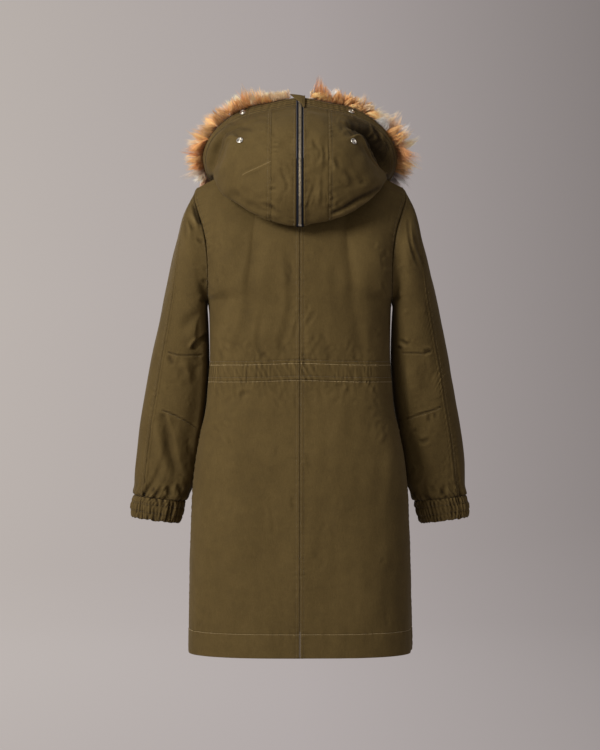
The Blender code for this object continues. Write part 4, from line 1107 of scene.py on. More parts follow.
SLEEVE_CREASES = {
    1: (
        (-5.0, 4.5, ((207.7, -33.7), (200, -52), (193.8, -67.5), (187, -84)), {"ends": (0.3, 0.2)}),
        (2.6, 4, ((214, -52), (206, -72), (197, -88)), {}),
        (-2.6, 4, ((216, -66), (209, -82), (200, -96)), {}),
        (-2.2, 5, ((220.4, -60), (222, -90), (219, -116)), {"shoulders": 0.6}),
        (-2.4, 3.5, ((198, -108), (186, -117)), {"ends": (0.3, 0.1)}),
        (-2.0, 5, ((179, -186), (186, -196)), {}),
        (-2.6, 5, ((181, -222), (192, -232)), {}),
        (-7.0, 6.0, ((178, -288), (184, -296), (192, -302), (203.7, -314.3), (207, -323)),
         {"ends": (0.05, 0.12), "lean": -0.3, "shoulders": 0.5, "worn": 1.0}),
        (3.6, 12, ((182, -255), (200, -285), (222, -312)), {"worn": 0.3}),
        (-2.2, 9, ((186, -240), (205, -262), (232, -275)), {"worn": 0.2}),
        (-1.3, 1.7, ((257.2, -325.4), (235.5, -331.1), (210.4, -331.8), (186.1, -330.9)),
         {"ends": (0.03, 0.03), "shoulders": 0.3, "worn": 1.0}),
        (-3.0, 4.5, ((256, -331), (251, -342), (246, -354)), {"worn": 0.6}),
        (3.0, 9, ((236, -338), (222, -356), (214, -392)), {"worn": 0.3}),
        (-1.2, 9, ((198, -338), (204, -362), (206, -402)), {"worn": 0.1}),
        (-1.6, 6, ((233, -348), (226, -372), (221, -402)), {}),
        (-1.5, 1.7, ((269.8, -437.4), (243.3, -448.2), (221.4, -460), (200, -475.5)),
         {"ends": (0.03, 0.03), "shoulders": 0.3, "worn": 1.0}),
        (-5.4, 7.5, ((267.9, -441), (260.3, -472.8), (253.3, -501.7), (245.8, -540.2), (225.8, -578)),
         {"ends": (0.08, 0.3), "lean": 0.25, "worn": 0.5}),
        (3.4, 9, ((282, -455), (274, -500), (268, -550)), {"worn": 0.3}),
        (3.0, 9, ((240, -462), (236, -505), (226, -545)), {"worn": 0.3}),
        (-2.0, 5, ((211, -508), (207.4, -529.3), (212, -557)), {"worn": 0.3}),
        (-2.6, 4, ((291, -588), (282, -600), (273, -604)), {}),
        (-2.8, 4, ((262, -584), (256, -598), (250, -609)), {}),
        (-2.4, 4, ((243, -580), (236, -592), (234, -603)), {}),
        (2.2, 5, ((270, -580), (264, -596)), {}),
    ),
    -1: (
        (-1.6, 3, ((-206.8, -64), (-211.5, -110), (-221.1, -144.8), (-233.6, -172)),
         {"ends": (0.15, 0.3), "shoulders": 0.5}),
        (-1.2, 3, ((-216, -76), (-222, -112), (-234, -146), (-246, -176)), {"shoulders": 0.5}),
        (1.2, 7, ((-200, -92), (-202, -128), (-208, -160)), {}),
        (-1.8, 5, ((-182, -216), (-192, -226)), {}),
        (2.4, 3.6, ((-186, -305), (-196, -311), (-208, -320)), {"worn": 0.8}),
        (-2.4, 3.2, ((-188, -313), (-198, -321)), {"worn": 0.8}),
        (-2.0, 3.2, ((-190, -299), (-202, -307), (-212, -314)), {"worn": 0.6}),
        (-1.3, 1.8, ((-196, -326.5), (-222.7, -327.6), (-244.7, -327.9), (-256, -323.6)),
         {"ends": (0.05, 0.03), "shoulders": 0.4, "worn": 1.0}),
        (-2.4, 4, ((-238, -326), (-256, -322)), {"worn": 0.9}),
        (3.0, 13, ((-212, -345), (-216, -380), (-222, -420)), {"worn": 0.25}),
        (-2.4, 12, ((-246, -345), (-252, -385), (-256, -420)), {"worn": 0.2}),
        (-1.6, 1.8, ((-207, -455.6), (-226.7, -448.3), (-258.6, -438.5), (-274.6, -431.8)),
         {"ends": (0.03, 0.03), "shoulders": 0.4, "worn": 1.0}),
        (-2.2, 3.8, ((-252.2, -446.3), (-251.2, -466)), {"ends": (0.1, 0.5)}),
        (-1.6, 3.8, ((-262, -444), (-264, -458)), {"ends": (0.1, 0.5)}),
        (-2.6, 4, ((-228, -499.5), (-240, -499), (-254, -493)), {"shoulders": 0.7}),
        (-1.4, 4, ((-218, -480), (-228, -478)), {}),
        (3.4, 15, ((-238, -470), (-250, -520), (-262, -575)), {"worn": 0.2}),
        (-3.0, 4, ((-284, -580), (-279, -598), (-272, -611)), {}),
        (-2.6, 4, ((-236, -603), (-250, -611), (-264, -613)), {}),
        (-2.2, 4, ((-256, -584), (-262, -600)), {}),
    ),
}

SLEEVE_FRONT_CREASES = (
    (-3.4, 6, ((196, -60), (200, -90), (206, -120)), {}),
    (-2.4, 5, ((214, -66), (216, -100), (224, -132)), {}),
    (-4.6, 7, ((186, -300), (206, -318), (232, -322)), {"worn": 0.7}),
    (3.2, 9, ((190, -276), (214, -292), (242, -296)), {}),
    (-3.8, 7, ((196, -352), (222, -360), (252, -352)), {}),
    (-2.6, 6, ((214, -398), (238, -404), (262, -392)), {}),
    (-4.0, 8, ((262, -440), (258, -480), (250, -520), (236, -566)), {}),
    (3.0, 9, ((284, -460), (280, -510), (272, -560)), {}),
    (-2.6, 4, ((290, -586), (282, -602)), {}),
    (-2.6, 4, ((262, -584), (256, -606)), {}),
)


UNDERARM_FILL = 0.9 * MM
RIGHT_BACK_RISE = 4.5 * MM
LEFT_BACK_SHIFT = 9 * MM


def press_to_side(panel):
    """Fills out the underarm, and flattens the sleeve's inner back in each side's own way."""
    z = panel.base[..., 2]
    inward = np.clip(-panel.outward[..., 0] * panel.side, 0, 1)
    panel.lift += UNDERARM_FILL * height_band(z, -325, -205, 40, 30) * inward**2
    x = panel.base[..., 0] * panel.side
    behind = panel.outward[..., 1]
    if panel.side < 0:
        flat = bell(x - 203 * MM, 16 * MM) * height_band(z, -500, -330, 60, 40) * np.clip(behind * 1.6, 0, 1)
        panel.lift += RIGHT_BACK_RISE * flat
        # painted light on the right sleeve's raised inner back
        panel.shade += 0.25 * flat
    elif "under" in panel.name:
        inner = x - x.min(axis=0, keepdims=True)
        backs = smooth_step((behind + 0.05) / 0.45)
        corner = bell(inner - 5 * MM, 9.5 * MM) * backs * height_band(z, -600, -240, 80, 80)
        # pale is painted light on the left sleeve's inner back beside the body, which the lamps leave darker
        pale = bell(inner - 8 * MM, 16 * MM) * backs * height_band(z, -620, -200, 80, 80)
        panel.base[..., 1] += LEFT_BACK_SHIFT * corner
        panel.shade += 0.6 * pale


SLEEVE_GIRTH = 520 * MM
SLEEVE_LENGTH = 600 * MM
DART_SHARES = (0.375, 0.60)  # where the elbow darts lie along the sleeve


def sleeve_panel(name, low, high, side):
    width = (high - low) * SLEEVE_GIRTH
    turn = low + spaced(width, 3.1 * MM, 1.2 * MM, [(0, 9 * MM), (width, 9 * MM)]) / SLEEVE_GIRTH
    closer_at = [(0, 8 * MM), (SLEEVE_LENGTH, 9 * MM)]
    closer_at += [(share * SLEEVE_LENGTH, 15 * MM) for share in DART_SHARES]
    down = spaced(SLEEVE_LENGTH, 3.1 * MM, 1.4 * MM, closer_at) / SLEEVE_LENGTH
    grid = np.meshgrid(turn, down, indexing="ij")
    return Panel(name, sleeve(*grid), 1, side)


def make_sleeve(side, name_side, cloth):
    panels = {
        "under": sleeve_panel(f"sleeve_under_{name_side}", FRONT_SEAM - 1, BACK_SEAM_AT_ARMHOLE, side),
        "top": sleeve_panel(f"sleeve_top_{name_side}", BACK_SEAM_AT_ARMHOLE, FRONT_SEAM, side),
    }
    sheets = {}
    for key, panel in panels.items():
        soft = panel.inside(("first_low", "first_high", "second_low"), 13 * MM)
        soft = soft * panel.inside(("second_high",), 12 * MM)
        panel.lift += 0.9 * MM * drift(panel.base, f"{panel.name}_wide", 95 * MM, (1, 1, 2.4)) * soft
        panel.lift += 0.35 * MM * drift(panel.base, f"{panel.name}_close", 34 * MM, (1, 1, 2.0)) * soft
        press_to_side(panel)
        draw(panel, SLEEVE_CREASES[side])
        for depth, width, points, options in SLEEVE_FRONT_CREASES:
            crease(panel, depth, width, [(x * side, z) for x, z in points], face=-1, **options)
        for face in (1, -1):
            for box, count, slant in SLEEVE_CRUMPLES:
                crumple(panel, count, mirrored_box(box, side), 0.5, 26, slant * side, face=face)
        back_edge = "first_high" if key == "under" else "first_low"
        front_edge = "first_low" if key == "under" else "first_high"
        seam(panel, back_edge, (2.2, 7), roll=0.6, pucker=0.5, short=6, long=15, band=0.7,
             seed=f"back_seam_{name_side}", worn=0.3)
        seam(panel, front_edge, (), roll=0.8)
        seam(panel, "second_low", (), roll=1.5 if side > 0 else 2.6, seed=f"armhole_{name_side}", worn=0.9)
        gather_at_cuff(panel)
        keep_clear(panel, -panel.outward[..., 0] * side, 0.35)
        sheets[panel.name] = make_sheet(panel, cloth)
    return panels, sheets


EASE_WAVES = (
    # seed, shortest and longest in mm, height in mm, how far they reach up the sleeve in mm, tone of the
    # painted light and shade that follow them
    ("ease", 8, 17, 1.7, 11, 0.45),
    ("ease_long", 16, 34, 2.2, 24, 0.25),
    ("ease_wide", 34, 60, 1.8, 45, 0.05),
)


def gather_at_cuff(panel):
    """The sleeve's end is eased into the elastic band, so it folds above it and turns in at the seam."""
    distance, along = panel.edge("second_high")
    girth = along + 0.25 * distance * np.sin(along / (23 * MM))
    for seed, short, long, height, reach, tone in EASE_WAVES:
        wave = waves(girth, f"{panel.name}_{seed}", short * MM, long * MM, 8)
        sharp = wave - 0.35 * np.abs(wave)
        fades = np.exp(-distance / (reach * MM)) * smooth_step(distance / (3 * MM))
        panel.lift += height * MM * sharp * fades
        # painted light on the folds' ridges and painted shade in their troughs
        panel.shade += tone * sharp * fades
    panel.lift += 2.4 * MM * bell(distance - 8 * MM, 8 * MM)
    panel.lift -= 1.6 * MM * bell(distance, 2.2 * MM)
    # painted shade where the end turns in at the seam
    panel.shade -= 0.8 * bell(distance, 2.2 * MM)


def round_waves(seed, turn, down, low, high, count, wander):
    """Uneven ribs round a tube, low to high in number, that wander as they go down it. About -1 to 1."""
    random = seeded(seed)
    total = np.zeros_like(turn)
    for _ in range(count):
        number = random.integers(low, high)
        sway = random.normal() * wander
        bow = random.normal() * wander
        turned = 2 * math.pi * (number * turn + random.random())
        total += np.cos(turned + sway * down + bow * np.sin(math.pi * down))
    return total / math.sqrt(count)


CUFF_POINTS = 250  # points round the band
CUFF_LENGTH = 44 * MM
CUFF_ROWS = (0.30, 0.66)  # where the stitched rows lie along it
CUFF_LIGHT = {1: 0.06, -1: 0.28}  # painted lighter, the right one more, to come as near to the photo


def make_cuff(side, name_side, cloth):
    """The elastic band: uneven upright gathers that two rows of stitching pinch."""
    turn = np.arange(CUFF_POINTS) / CUFF_POINTS
    down = spaced(CUFF_LENGTH, 1.8 * MM, 1.2 * MM, [(0, 3 * MM), (CUFF_LENGTH, 3 * MM)]) / CUFF_LENGTH
    down, turn = np.meshgrid(down, turn, indexing="ij")
    panel = Panel(f"cuff_{name_side}", cuff(turn, down), -1, side, ring=True)
    fine = round_waves(f"{panel.name}_fine", turn, down, 26, 50, 9, 2.6)
    cross = round_waves(f"{panel.name}_cross", turn, down, 34, 62, 7, 5.0)
    wide = round_waves(f"{panel.name}_wide", turn, down, 8, 20, 6, 1.5)
    ribs = fine - 0.3 * np.abs(fine)
    middle = np.sin(np.clip(down, 0, 1) * math.pi) ** 0.5
    panel.lift += (1.25 * MM * ribs + 0.6 * MM * cross + 1.2 * MM * wide) * (0.5 + 0.5 * middle)
    # painted light on the gathers' ridges and painted shade between them, with CUFF_LIGHT's painted light
    # added
    panel.shade += 0.62 * ribs + 0.3 * cross + 0.12 * wide + CUFF_LIGHT[side]
    for share in CUFF_ROWS:
        row = bell(down - share - 0.012 * wide, 0.05)
        panel.lift -= 1.0 * MM * row
        # painted shade in each stitched row
        panel.shade -= 0.35 * row
    distance = panel.first
    length = panel.first[-1:]
    panel.lift -= 0.9 * MM * bell(distance, 1.6 * MM)
    panel.lift -= 0.6 * MM * bell(length - distance, 1.6 * MM)
    panel.lift += 0.7 * MM * middle
    ruffle = (0.9 * MM * wide + 0.7 * MM * fine) * smooth_step((down - 0.72) / 0.28)
    panel.base[..., 2] += ruffle
    return panel, make_sheet(panel, cloth, step=4)


HOOD_CREASES = (
    # wearer's left of the zip
    (-1.3, 2.8, ((30.7, 36), (33.7, 19.7), (31.4, 2.9), (23.1, -16.1), (24.2, -23), (31.4, -27.6),
      (33.5, -44)),
     {"ends": (0.3, 0.3), "lean": 0.2, "worn": 0.35}),
    (0.9, 4, ((22, 10), (17, -10), (14, -28)), {}),
    (-1.2, 3, ((60.8, -20.2), (52, -20), (41.9, -18.1)), {"shoulders": 0.7, "worn": 0.7}),
    (-1.8, 3.6, ((79.8, -47.5), (66, -48), (56.1, -51.5), (42, -59.8)), {"shoulders": 0.6, "worn": 0.7}),
    (1.8, 4.5, ((70, -60), (50, -67), (30.2, -74)), {"worn": 0.6}),
    (-2.0, 5, ((142, -8), (122, -27), (98, -44), (66, -58), (38, -68)), {"ends": (0.3, 0.3), "worn": 0.4}),
    (1.4, 7, ((120, -30), (96, -48)), {}),
    (-0.7, 2.8, ((52.5, 69), (38, 69)), {"shoulders": 0.9, "worn": 0.7}),
    (-0.9, 2.8, ((53.5, 60), (38, 60)), {"shoulders": 0.9, "worn": 0.7}),
    (-0.7, 2.8, ((52.5, 51), (40, 50)), {"shoulders": 0.9, "worn": 0.7}),
    (-0.7, 2.8, ((53.5, 43), (40, 42)), {"shoulders": 0.9, "worn": 0.7}),
    (-0.6, 2.8, ((53.5, 36), (42, 36)), {"shoulders": 0.9, "worn": 0.7}),
    (1.0, 2.6, ((109.8, 7.5), (96, 14), (82.6, 19.9), (66, 27), (52.4, 32.6)),
     {"ends": (0.1, 0.1), "worn": 0.9}),
    (-1.6, 5.0, ((139.2, 99.4), (143, 73), (155.9, 50.2), (161.4, 24.3), (163, 4)),
     {"ends": (0.2, 0.2), "lean": -0.3, "worn": 0.35}),
    (2.0, 7, ((148, 102), (160, 84), (172, 60)), {"worn": 0.3}),
    (-1.5, 4, ((152, 60), (160, 46), (163, 28)), {"worn": 0.05}),
    (1.5, 5, ((143.5, 125.5), (122, 124), (101.7, 120.8)), {"worn": 0.5}),
    (1.2, 5, ((132, 116), (112, 114), (92, 110)), {"worn": 0.4}),
    (-1.4, 5, ((118, 104), (98, 100), (80, 98)), {"worn": 0.4}),
    (-1.2, 5, ((90, 122), (70, 116), (50, 112)), {"worn": 0.4}),
    (1.6, 14, ((92, 70), (104, 30), (104, -10)), {"worn": 0.15}),
    (-1.5, 12, ((70, 60), (76, 20), (68, -20)), {"worn": 0.1}),
    # wearer's right of the zip
    (-1.5, 3.0, ((-12.2, -62), (-17.3, -41.8), (-23.9, -23), (-26.3, -8)),
     {"ends": (0.3, 0.3), "worn": 0.45}),
    (1.1, 4.0, ((-30, -62), (-33, -36), (-36, -8), (-35, 16)), {"worn": 0.6}),
    (-1.3, 3.0, ((-22.9, 76), (-30, 62), (-38.1, 48.9), (-33.3, 28)), {"ends": (0.3, 0.3), "worn": 0.4}),
    (0.8, 4, ((-20, 56), (-24, 36), (-24, 12)), {"worn": 0.5}),
    (-1.0, 3.0, ((-38.9, -14), (-42, -36), (-39, -58)), {"worn": 0.6}),
    (-1.0, 3.4, ((-49.2, -8), (-61.5, -39.2), (-52.2, -66)), {"worn": 0.6}),
    (-1.2, 3.2, ((-44, 76), (-46, 50), (-47, 10)), {"shoulders": 0.7, "worn": 0.6}),
    (-1.5, 4, ((-64, 44), (-70, 32), (-76, 14)), {"worn": 0.5}),
    (1.2, 4, ((-56, 40), (-62, 26), (-66, 8)), {"worn": 0.5}),
    (-1.5, 4.5, ((-84, 18), (-94, 8), (-104, -6)), {"worn": 0.5}),
    (1.4, 5, ((-78, 6), (-88, -4), (-96, -16)), {"worn": 0.4}),
    (-1.3, 5, ((-112, 6), (-122, -4), (-134, -8)), {"worn": 0.4}),
    (-2.8, 4.0, ((-49.4, -70), (-76, -57), (-99.7, -44.2), (-123.7, -31.4), (-146, -18), (-162, -4)),
     {"ends": (0.15, 0.15), "lean": -0.2, "worn": 0.8}),
    (2.0, 4.0, ((-56, -76), (-84, -61), (-108, -46), (-134, -31), (-156, -15)),
     {"ends": (0.15, 0.1), "worn": 0.7}),
    (-1.6, 4, ((-40, -62), (-64, -52), (-88, -36)), {"worn": 0.4}),
    (1.4, 4, ((-104, 88), (-118, 72.8), (-134, 58.9), (-148, 44), (-158, 28)), {"worn": 0.9, "lean": 0.2}),
    (-1.4, 5, ((-84, 122), (-100, 112), (-110, 98)), {"worn": 0.3}),
    (-2.6, 5, ((-108, 100), (-122, 88), (-134, 76)), {"worn": 0.6}),
    (1.8, 5, ((-128, 116), (-140, 98), (-150, 78)), {"worn": 0.5}),
    (-1.8, 4, ((-140, 112), (-150, 96), (-158, 78)), {"worn": 0.5}),
    (1.6, 4, ((-150, 106), (-160, 90), (-168, 72)), {"worn": 0.5}),
    (-1.6, 4, ((-160, 92), (-168, 78), (-174, 60)), {"worn": 0.5}),
    (1.6, 12, ((-80, 84), (-92, 50), (-100, 20)), {"worn": 0.15}),
    (-1.2, 6, ((-70, 108), (-90, 100)), {"worn": 0.3}),
)


HOOD_CRUMPLES = (
    ((10, -70, 52, 100), 16, 85),
    ((54, -70, 130, 0), 12, 30),
    ((54, 80, 150, 125), 10, 20),
)

# How the crescent beside each side's brim sinks behind the hood's ridge, by hood section: the valley's depth
# and the ridge's height in mm, and how much the valley is painted darker. That follows the photo's shade.
CRESCENTS = {
    1: (
        (0, 0, 0, 0), (1.4, 0, 0, 0), (2.2, 4, 1.5, 0.150), (3, 8, 3.0, 0.300), (4, 9, 3.0, 0.340),
        (5, 6, 2, 0.300), (6, 2, 0, 0.150), (7, 0, 0, 0), (9, 0, 0, 0),
    ),
    -1: (
        (0, 0, 0, 0), (1.5, 0, 0, 0), (2.1, 7, 2.5, 0.700), (2.6, 13, 4.5, 1.050), (3.4, 15, 4.5, 1.100),
        (4.4, 13, 3, 1.000), (5.2, 8, 1.5, 0.700), (6, 3, 0, 0.350), (7, 0, 0, 0), (9, 0, 0, 0),
    ),
}
VALLEY_LINES = {1: 7.0, -1: 6.85}
RIDGE_LINE = 6.08


def crescent_at(panel):
    """The valley's depth and the ridge's height in metres, and the shade, at every point of a hood panel."""
    at, valley, ridge, shade = np.array(CRESCENTS[panel.side], float).T
    valley, ridge, shade = (np.interp(panel.sections, at, values) for values in (valley, ridge, shade))
    return valley * MM, ridge * MM, shade


def length_to_line(panel, line):
    """The length up the panel to this line of the hood, for each of its rows."""
    rows = zip(panel.lines, panel.second)
    return np.array([np.interp(line, lines, lengths) for lines, lengths in rows])[:, None]


def sink_crescent(panel):
    """Deepens the valley between the hood's ridge and its brim, and darkens it with painted shade."""
    valley, ridge, shade = crescent_at(panel)
    middle = length_to_line(panel, VALLEY_LINES[panel.side])
    crest = length_to_line(panel, RIDGE_LINE)
    away = panel.second - middle
    top = panel.second - crest
    panel.lift -= valley * bell(away, 9 * MM)
    panel.lift += ridge * bell(top, 6 * MM)
    gap = np.maximum(middle - crest, 8 * MM)
    inner = smooth_step((top - 1 * MM) / (0.30 * gap))
    outer = smooth_step((panel.second[:, -1:] + 3 * MM - panel.second) / (24 * MM))
    # painted shade in the valley behind the ridge, fading towards the brim
    panel.shade -= shade * inner * (0.25 + 0.75 * outer)
    # painted highlight along the ridge's crest
    panel.shade += 0.30 * np.minimum(shade, 1) * bell(top, 4 * MM)
    fan = waves(panel.first + 0.5 * away, f"{panel.name}_fan", 7 * MM, 18 * MM, 8)
    panel.lift += 0.9 * MM * fan * np.minimum(shade, 1) * inner * outer
    # painted light and shade on the fan of small folds
    panel.shade += 0.12 * fan * np.minimum(shade, 1) * inner


BELLY_LINE = 5.0
SHOULDER_SECTION = 1.6


def hood_lengths(surface):
    """Lengths along the hood round its belly, and up it behind the shoulder, at evenly spaced values."""
    at = np.linspace(0, HOOD_END, 181)
    middle = surface(at, np.full_like(at, BELLY_LINE))
    upright = surface(np.full_like(at, SHOULDER_SECTION), at)
    return at, run_length(middle), run_length(upright)


def positions(at, lengths, low, high, base, fine=None, zones=()):
    """Values from low to high, spaced by length in mm. zones are (value, reach in mm)."""
    fine = base if fine is None else fine
    first, last = np.interp((low, high), at, lengths)
    inner = [(np.interp(value, at, lengths) - first, reach * MM) for value, reach in zones]
    found = np.interp(spaced(last - first, base * MM, fine * MM, inner) + first, lengths, at)
    found[0], found[-1] = low, high
    return found


def slot_edge(lines):
    """Where the cloth's edge beside the hood zip lies, in x, at these lines."""
    beside = np.clip((lines - (FOLD_LINE - 0.45)) / 0.3, 0, 1)
    return SEAM_GAP / 2 + ZIP_HALF * beside


def hood_panel(name, surface, sections, lines, zip_edge, side):
    grid = np.meshgrid(sections, lines, indexing="ij")
    if zip_edge:
        edge = slot_edge(lines)
        first = surface(np.ones_like(lines), lines)[:, 0]
        start = edge / first
        low = np.clip(1 - grid[0], 0, 1)
        grid[0] = grid[0] + start[None] * low
    points = surface(*grid)
    if zip_edge:
        points[0, :, 0] = edge
    panel = Panel(name, points, -1, side)
    panel.sections, panel.lines = np.meshgrid(sections, lines, indexing="ij")
    return panel


HIDDEN_LINE = 2.4  # below this line the hood is hidden behind its own fold
FRONT_SECTION = 6.6  # beyond this section the hood is on the wearer's front


def hood_grids(surface):
    """The section and line numbers at which the hood's panels are drawn, finer where they are seen."""
    at, turns, climbs = hood_lengths(surface)
    hidden = positions(at, climbs, 0, HIDDEN_LINE, 6)
    seen = positions(at, climbs, HIDDEN_LINE, BRIM_LINE, 2.5, 1.2, ((FOLD_LINE, 9), (BRIM_LINE, 5)))
    side = positions(at, turns, 1, FRONT_SECTION, 2.6, 1.2, ((1, 8),))
    brim = positions(at, turns, 0, FRONT_SECTION, 2.3, 1.6, ((0, 5),))
    return {
        "lines": np.concatenate([hidden[:-1], seen]),
        "brim_lines": positions(at, climbs, BRIM_LINE, RIM_LINE, 1.25, 0.9, ((BRIM_LINE, 2), (RIM_LINE, 2))),
        "centre": positions(at, turns, 0, 1, 2.2, 1.1, ((0, 6), (1, 6))),
        "side": np.concatenate([side[:-1], positions(at, turns, FRONT_SECTION, HOOD_END, 4.5)]),
        "brim": np.concatenate([brim[:-1], positions(at, turns, FRONT_SECTION, HOOD_END, 3.5)]),
    }


def make_hood(side, name_side, cloth):
    surface = hood_surface(side > 0)
    grids = hood_grids(surface)
    panels = {}
    for key in ("centre", "side", "brim"):
        lines = grids["brim_lines" if key == "brim" else "lines"]
        panels[key] = hood_panel(f"hood_{key}_{name_side}", surface, grids[key], lines, key != "side", side)
    for key in ("centre", "side"):
        panel = panels[key]
        soft = panel.inside(("second_high",), 12 * MM) * panel.inside(("first_low",), 12 * MM)
        if key == "centre":
            soft = soft * panel.inside(("first_high",), 12 * MM)
        panel.lift += 1.6 * MM * drift(panel.base, "hood_wide", 85 * MM) * soft
        panel.lift += 0.7 * MM * drift(panel.base, "hood_close", 30 * MM) * soft
        sink_crescent(panel)
        draw(panel, HOOD_CREASES, strength=0.78)
        for box, count, slant in HOOD_CRUMPLES:
            crumple(panel, count, mirrored_box(box, side), 0.55, 18, slant * side)
        seam(panel, "second_high", (), roll=0.8)
        quilt_below_brim(panel)
    seam(panels["centre"], "first_low", (4.5,), roll=0.5, pucker=0.4)
    seam(panels["centre"], "first_high", (), roll=0.25, worn=0.1)
    seam(panels["side"], "first_low", (2.2, 7), roll=0.25, pucker=0.5, worn=0.15)
    brim_finish(panels["brim"])
    sheets = {panel.name: make_sheet(panel, cloth) for panel in panels.values()}
    return surface, panels, sheets


BRIM_ROWS = 4
LOWER_BRIM_ROWS = (5.5, 11.5)  # mm below the brim band, where the stitched rows carry on
BRIM_STITCHES = (0.06, 0.25, 0.5, 0.75)  # shares of the band's width


def quilt_below_brim(panel):
    """The stitched rows that carry on below the brim band, round the back of the hood."""
    distance, _ = panel.edge("second_high")
    behind = smooth_step((3.4 - panel.sections) / 0.8)
    for row in LOWER_BRIM_ROWS:
        groove = bell(distance - row * MM, 1.5 * MM) * behind
        panel.lift -= 0.5 * MM * groove
        # painted shade in each stitched groove
        panel.shade -= 1.0 * groove
    between = bell(distance - 6 * MM, 7 * MM) * behind
    panel.lift += 0.5 * MM * between
    # painted light on the raised cloth between the rows
    panel.shade += 0.2 * between


def brim_finish(panel):
    """The brim band: stitched rows that leave padded ribs between them, and small puckers across."""
    distance, along = panel.edge("second_low")
    width = panel.second[:, -1:]
    share = distance / width
    ribs = np.cos(share * 2 * math.pi * BRIM_ROWS)
    grooves = np.clip(ribs, 0, 1)
    panel.lift += 0.55 * MM * -ribs * smooth_step(share / 0.08) * smooth_step((1 - share) / 0.06)
    # painted light on the padded ribs and painted shade in the stitched grooves
    panel.shade += 0.45 - 2.1 * grooves
    wave = waves(along + 0.2 * distance, f"{panel.name}_pucker", 6 * MM, 15 * MM, 8)
    panel.lift += 0.5 * MM * wave * np.sin(np.clip(share, 0, 1) * math.pi)
    # painted light and shade on the puckers
    panel.shade += 0.2 * wave
    # painted shade of the crescent's valley carried onto the brim
    _, _, dark = crescent_at(panel)
    panel.shade -= dark * (0.25 + 0.5 * smooth_step((panel.sections - 3.2) / 1.5)) * (1 - 0.5 * share)
    panel.lift -= 0.8 * MM * bell(distance, 1.4 * MM)
    # painted shade along the turned-in lower edge
    panel.shade -= 0.5 * bell(distance, 1.4 * MM)
    top = width - distance
    panel.lift -= 1.0 * MM * bell(top, 1.4 * MM)
    panel.shade += 0.35 * bell(top, 2 * MM)


def make_tab(surface, cloth):
    """The folded triangle of the wearer's right edge over the zip's top end."""
    lines = np.linspace(TAB_TIP_LINE, RIM_LINE, TAB_ROWS)
    share = np.linspace(0, 1, TAB_COLUMNS)[:, None]
    points = surface(*np.meshgrid(np.zeros(TAB_COLUMNS), lines, indexing="ij"))
    beside = np.linspace(0, 0.1, TAB_COLUMNS)
    outward = grid_normals(surface(*np.meshgrid(beside, lines, indexing="ij")), -1)
    points = points + outward * TAB_LIFT
    lean = (lines - TAB_TIP_LINE) / (RIM_LINE - TAB_TIP_LINE)
    left = TAB_TIP_LEFT + (TAB_TOP_LEFT - TAB_TIP_LEFT) * lean**1.35
    right = TAB_TIP_RIGHT + (TAB_TOP_RIGHT - TAB_TIP_RIGHT) * lean
    points[..., 0] = left * (1 - share) + right * share
    climb = unit(points[:, -1] - points[:, -2])
    extra = [points[:, -1] + climb * TAB_RISE * (1 - share) * step / 4 for step in (1, 2, 3, 4)]
    points = np.concatenate([points, np.stack(extra, axis=1)], axis=1)
    panel = Panel("hood_tab", points, -1, 1)
    panel.outward = np.where((panel.outward[..., 1:2] < 0), -panel.outward, panel.outward)
    for which in ("first_high", "first_low", "second_high"):
        distance, _ = panel.edge(which)
        panel.lift -= 0.7 * MM * bell(distance, 1.2 * MM)
        panel.shade += 0.3 * bell(distance, 1.6 * MM)
    row = bell(panel.edge("first_high")[0] - 3.5 * MM, 0.9 * MM)
    panel.lift -= 0.35 * MM * row
    # painted shade in the stitched row
    panel.shade -= 0.5 * row
    panel.lift += 0.4 * MM * drift(panel.base, "tab", 18 * MM)
    return make_sheet(panel, cloth, TAB_THICK, 3)


# ---------------------------------------------------------------------------------------------------------
# Stitches
# ---------------------------------------------------------------------------------------------------------


def picked(at, keys, points, outward):
    """The point and normal of each line of a grid where its rising keys have this value."""
    path, normal = [], []
    for key, line, facing in zip(keys, points, outward):
        path.append([np.interp(at, key, line[:, k]) for k in range(3)])
        normal.append([np.interp(at, key, facing[:, k]) for k in range(3)])
    return np.array(path), unit(np.array(normal))


def along_edge(panel, which, distance):
    """Points and normals on the finished cloth at this distance in mm from an edge."""
    points, outward, away = panel.points(), panel.outward, panel.edge(which)[0]
    if which.startswith("first"):
        points, outward, away = points.swapaxes(0, 1), outward.swapaxes(0, 1), away.T
    if which.endswith("high"):
        points, outward, away = points[:, ::-1], outward[:, ::-1], away[:, ::-1]
    return picked(distance * MM, away, points, outward)


def at_share(panel, share):
    """Points and normals along a panel's first axis at this share of its width, the second axis."""
    return picked(share, panel.second / panel.second[:, -1:], panel.points(), panel.outward)


def at_height(panel, height, arched):
    """Points and normals where a torso panel crosses this height in mm, below the underarm."""
    points = panel.points()
    x, z = points[..., 0], points[..., 2]
    level = z - (waist_arch(x) if arched else 0)
    return picked(height * MM, np.where(z < UNDERARM, level, 1), points, panel.outward)


def cast(panels, points):
    """Points and normals where lines through x and z (mm) first meet the cloth, from behind the wearer."""
    path, normal = [], []
    trees = [panel.surface_tree() for panel in panels]
    for x, _, z in smooth_path(np.array([(a, 0, b) for a, b in points]) * MM, 2 * MM):
        start, ahead = Vector((x, 0.6, z)), Vector((0, -1, 0))
        hits = [hit for hit in (tree.ray_cast(start, ahead) for tree in trees) if hit[0] is not None]
        if hits:
            spot, facing, _, _ = min(hits, key=lambda hit: hit[3])
            path.append(spot)
            normal.append(facing if facing.y > 0 else -facing)
    return np.array(path), unit(np.array(normal))


STITCH_RINGS = ((-1, 0, -0.35), (-0.55, 0.9, 0.75), (0.55, 0.9, 0.75), (1, 0, -0.35))  # share, width, height
STITCH_FACES = np.array(
    [(0, 1, 2), (0, 2, 3), (0, 3, 1), (7, 5, 4), (7, 6, 5), (7, 4, 6),
     (1, 4, 5), (1, 5, 2), (2, 5, 6), (2, 6, 3), (3, 6, 4), (3, 4, 1)]
)


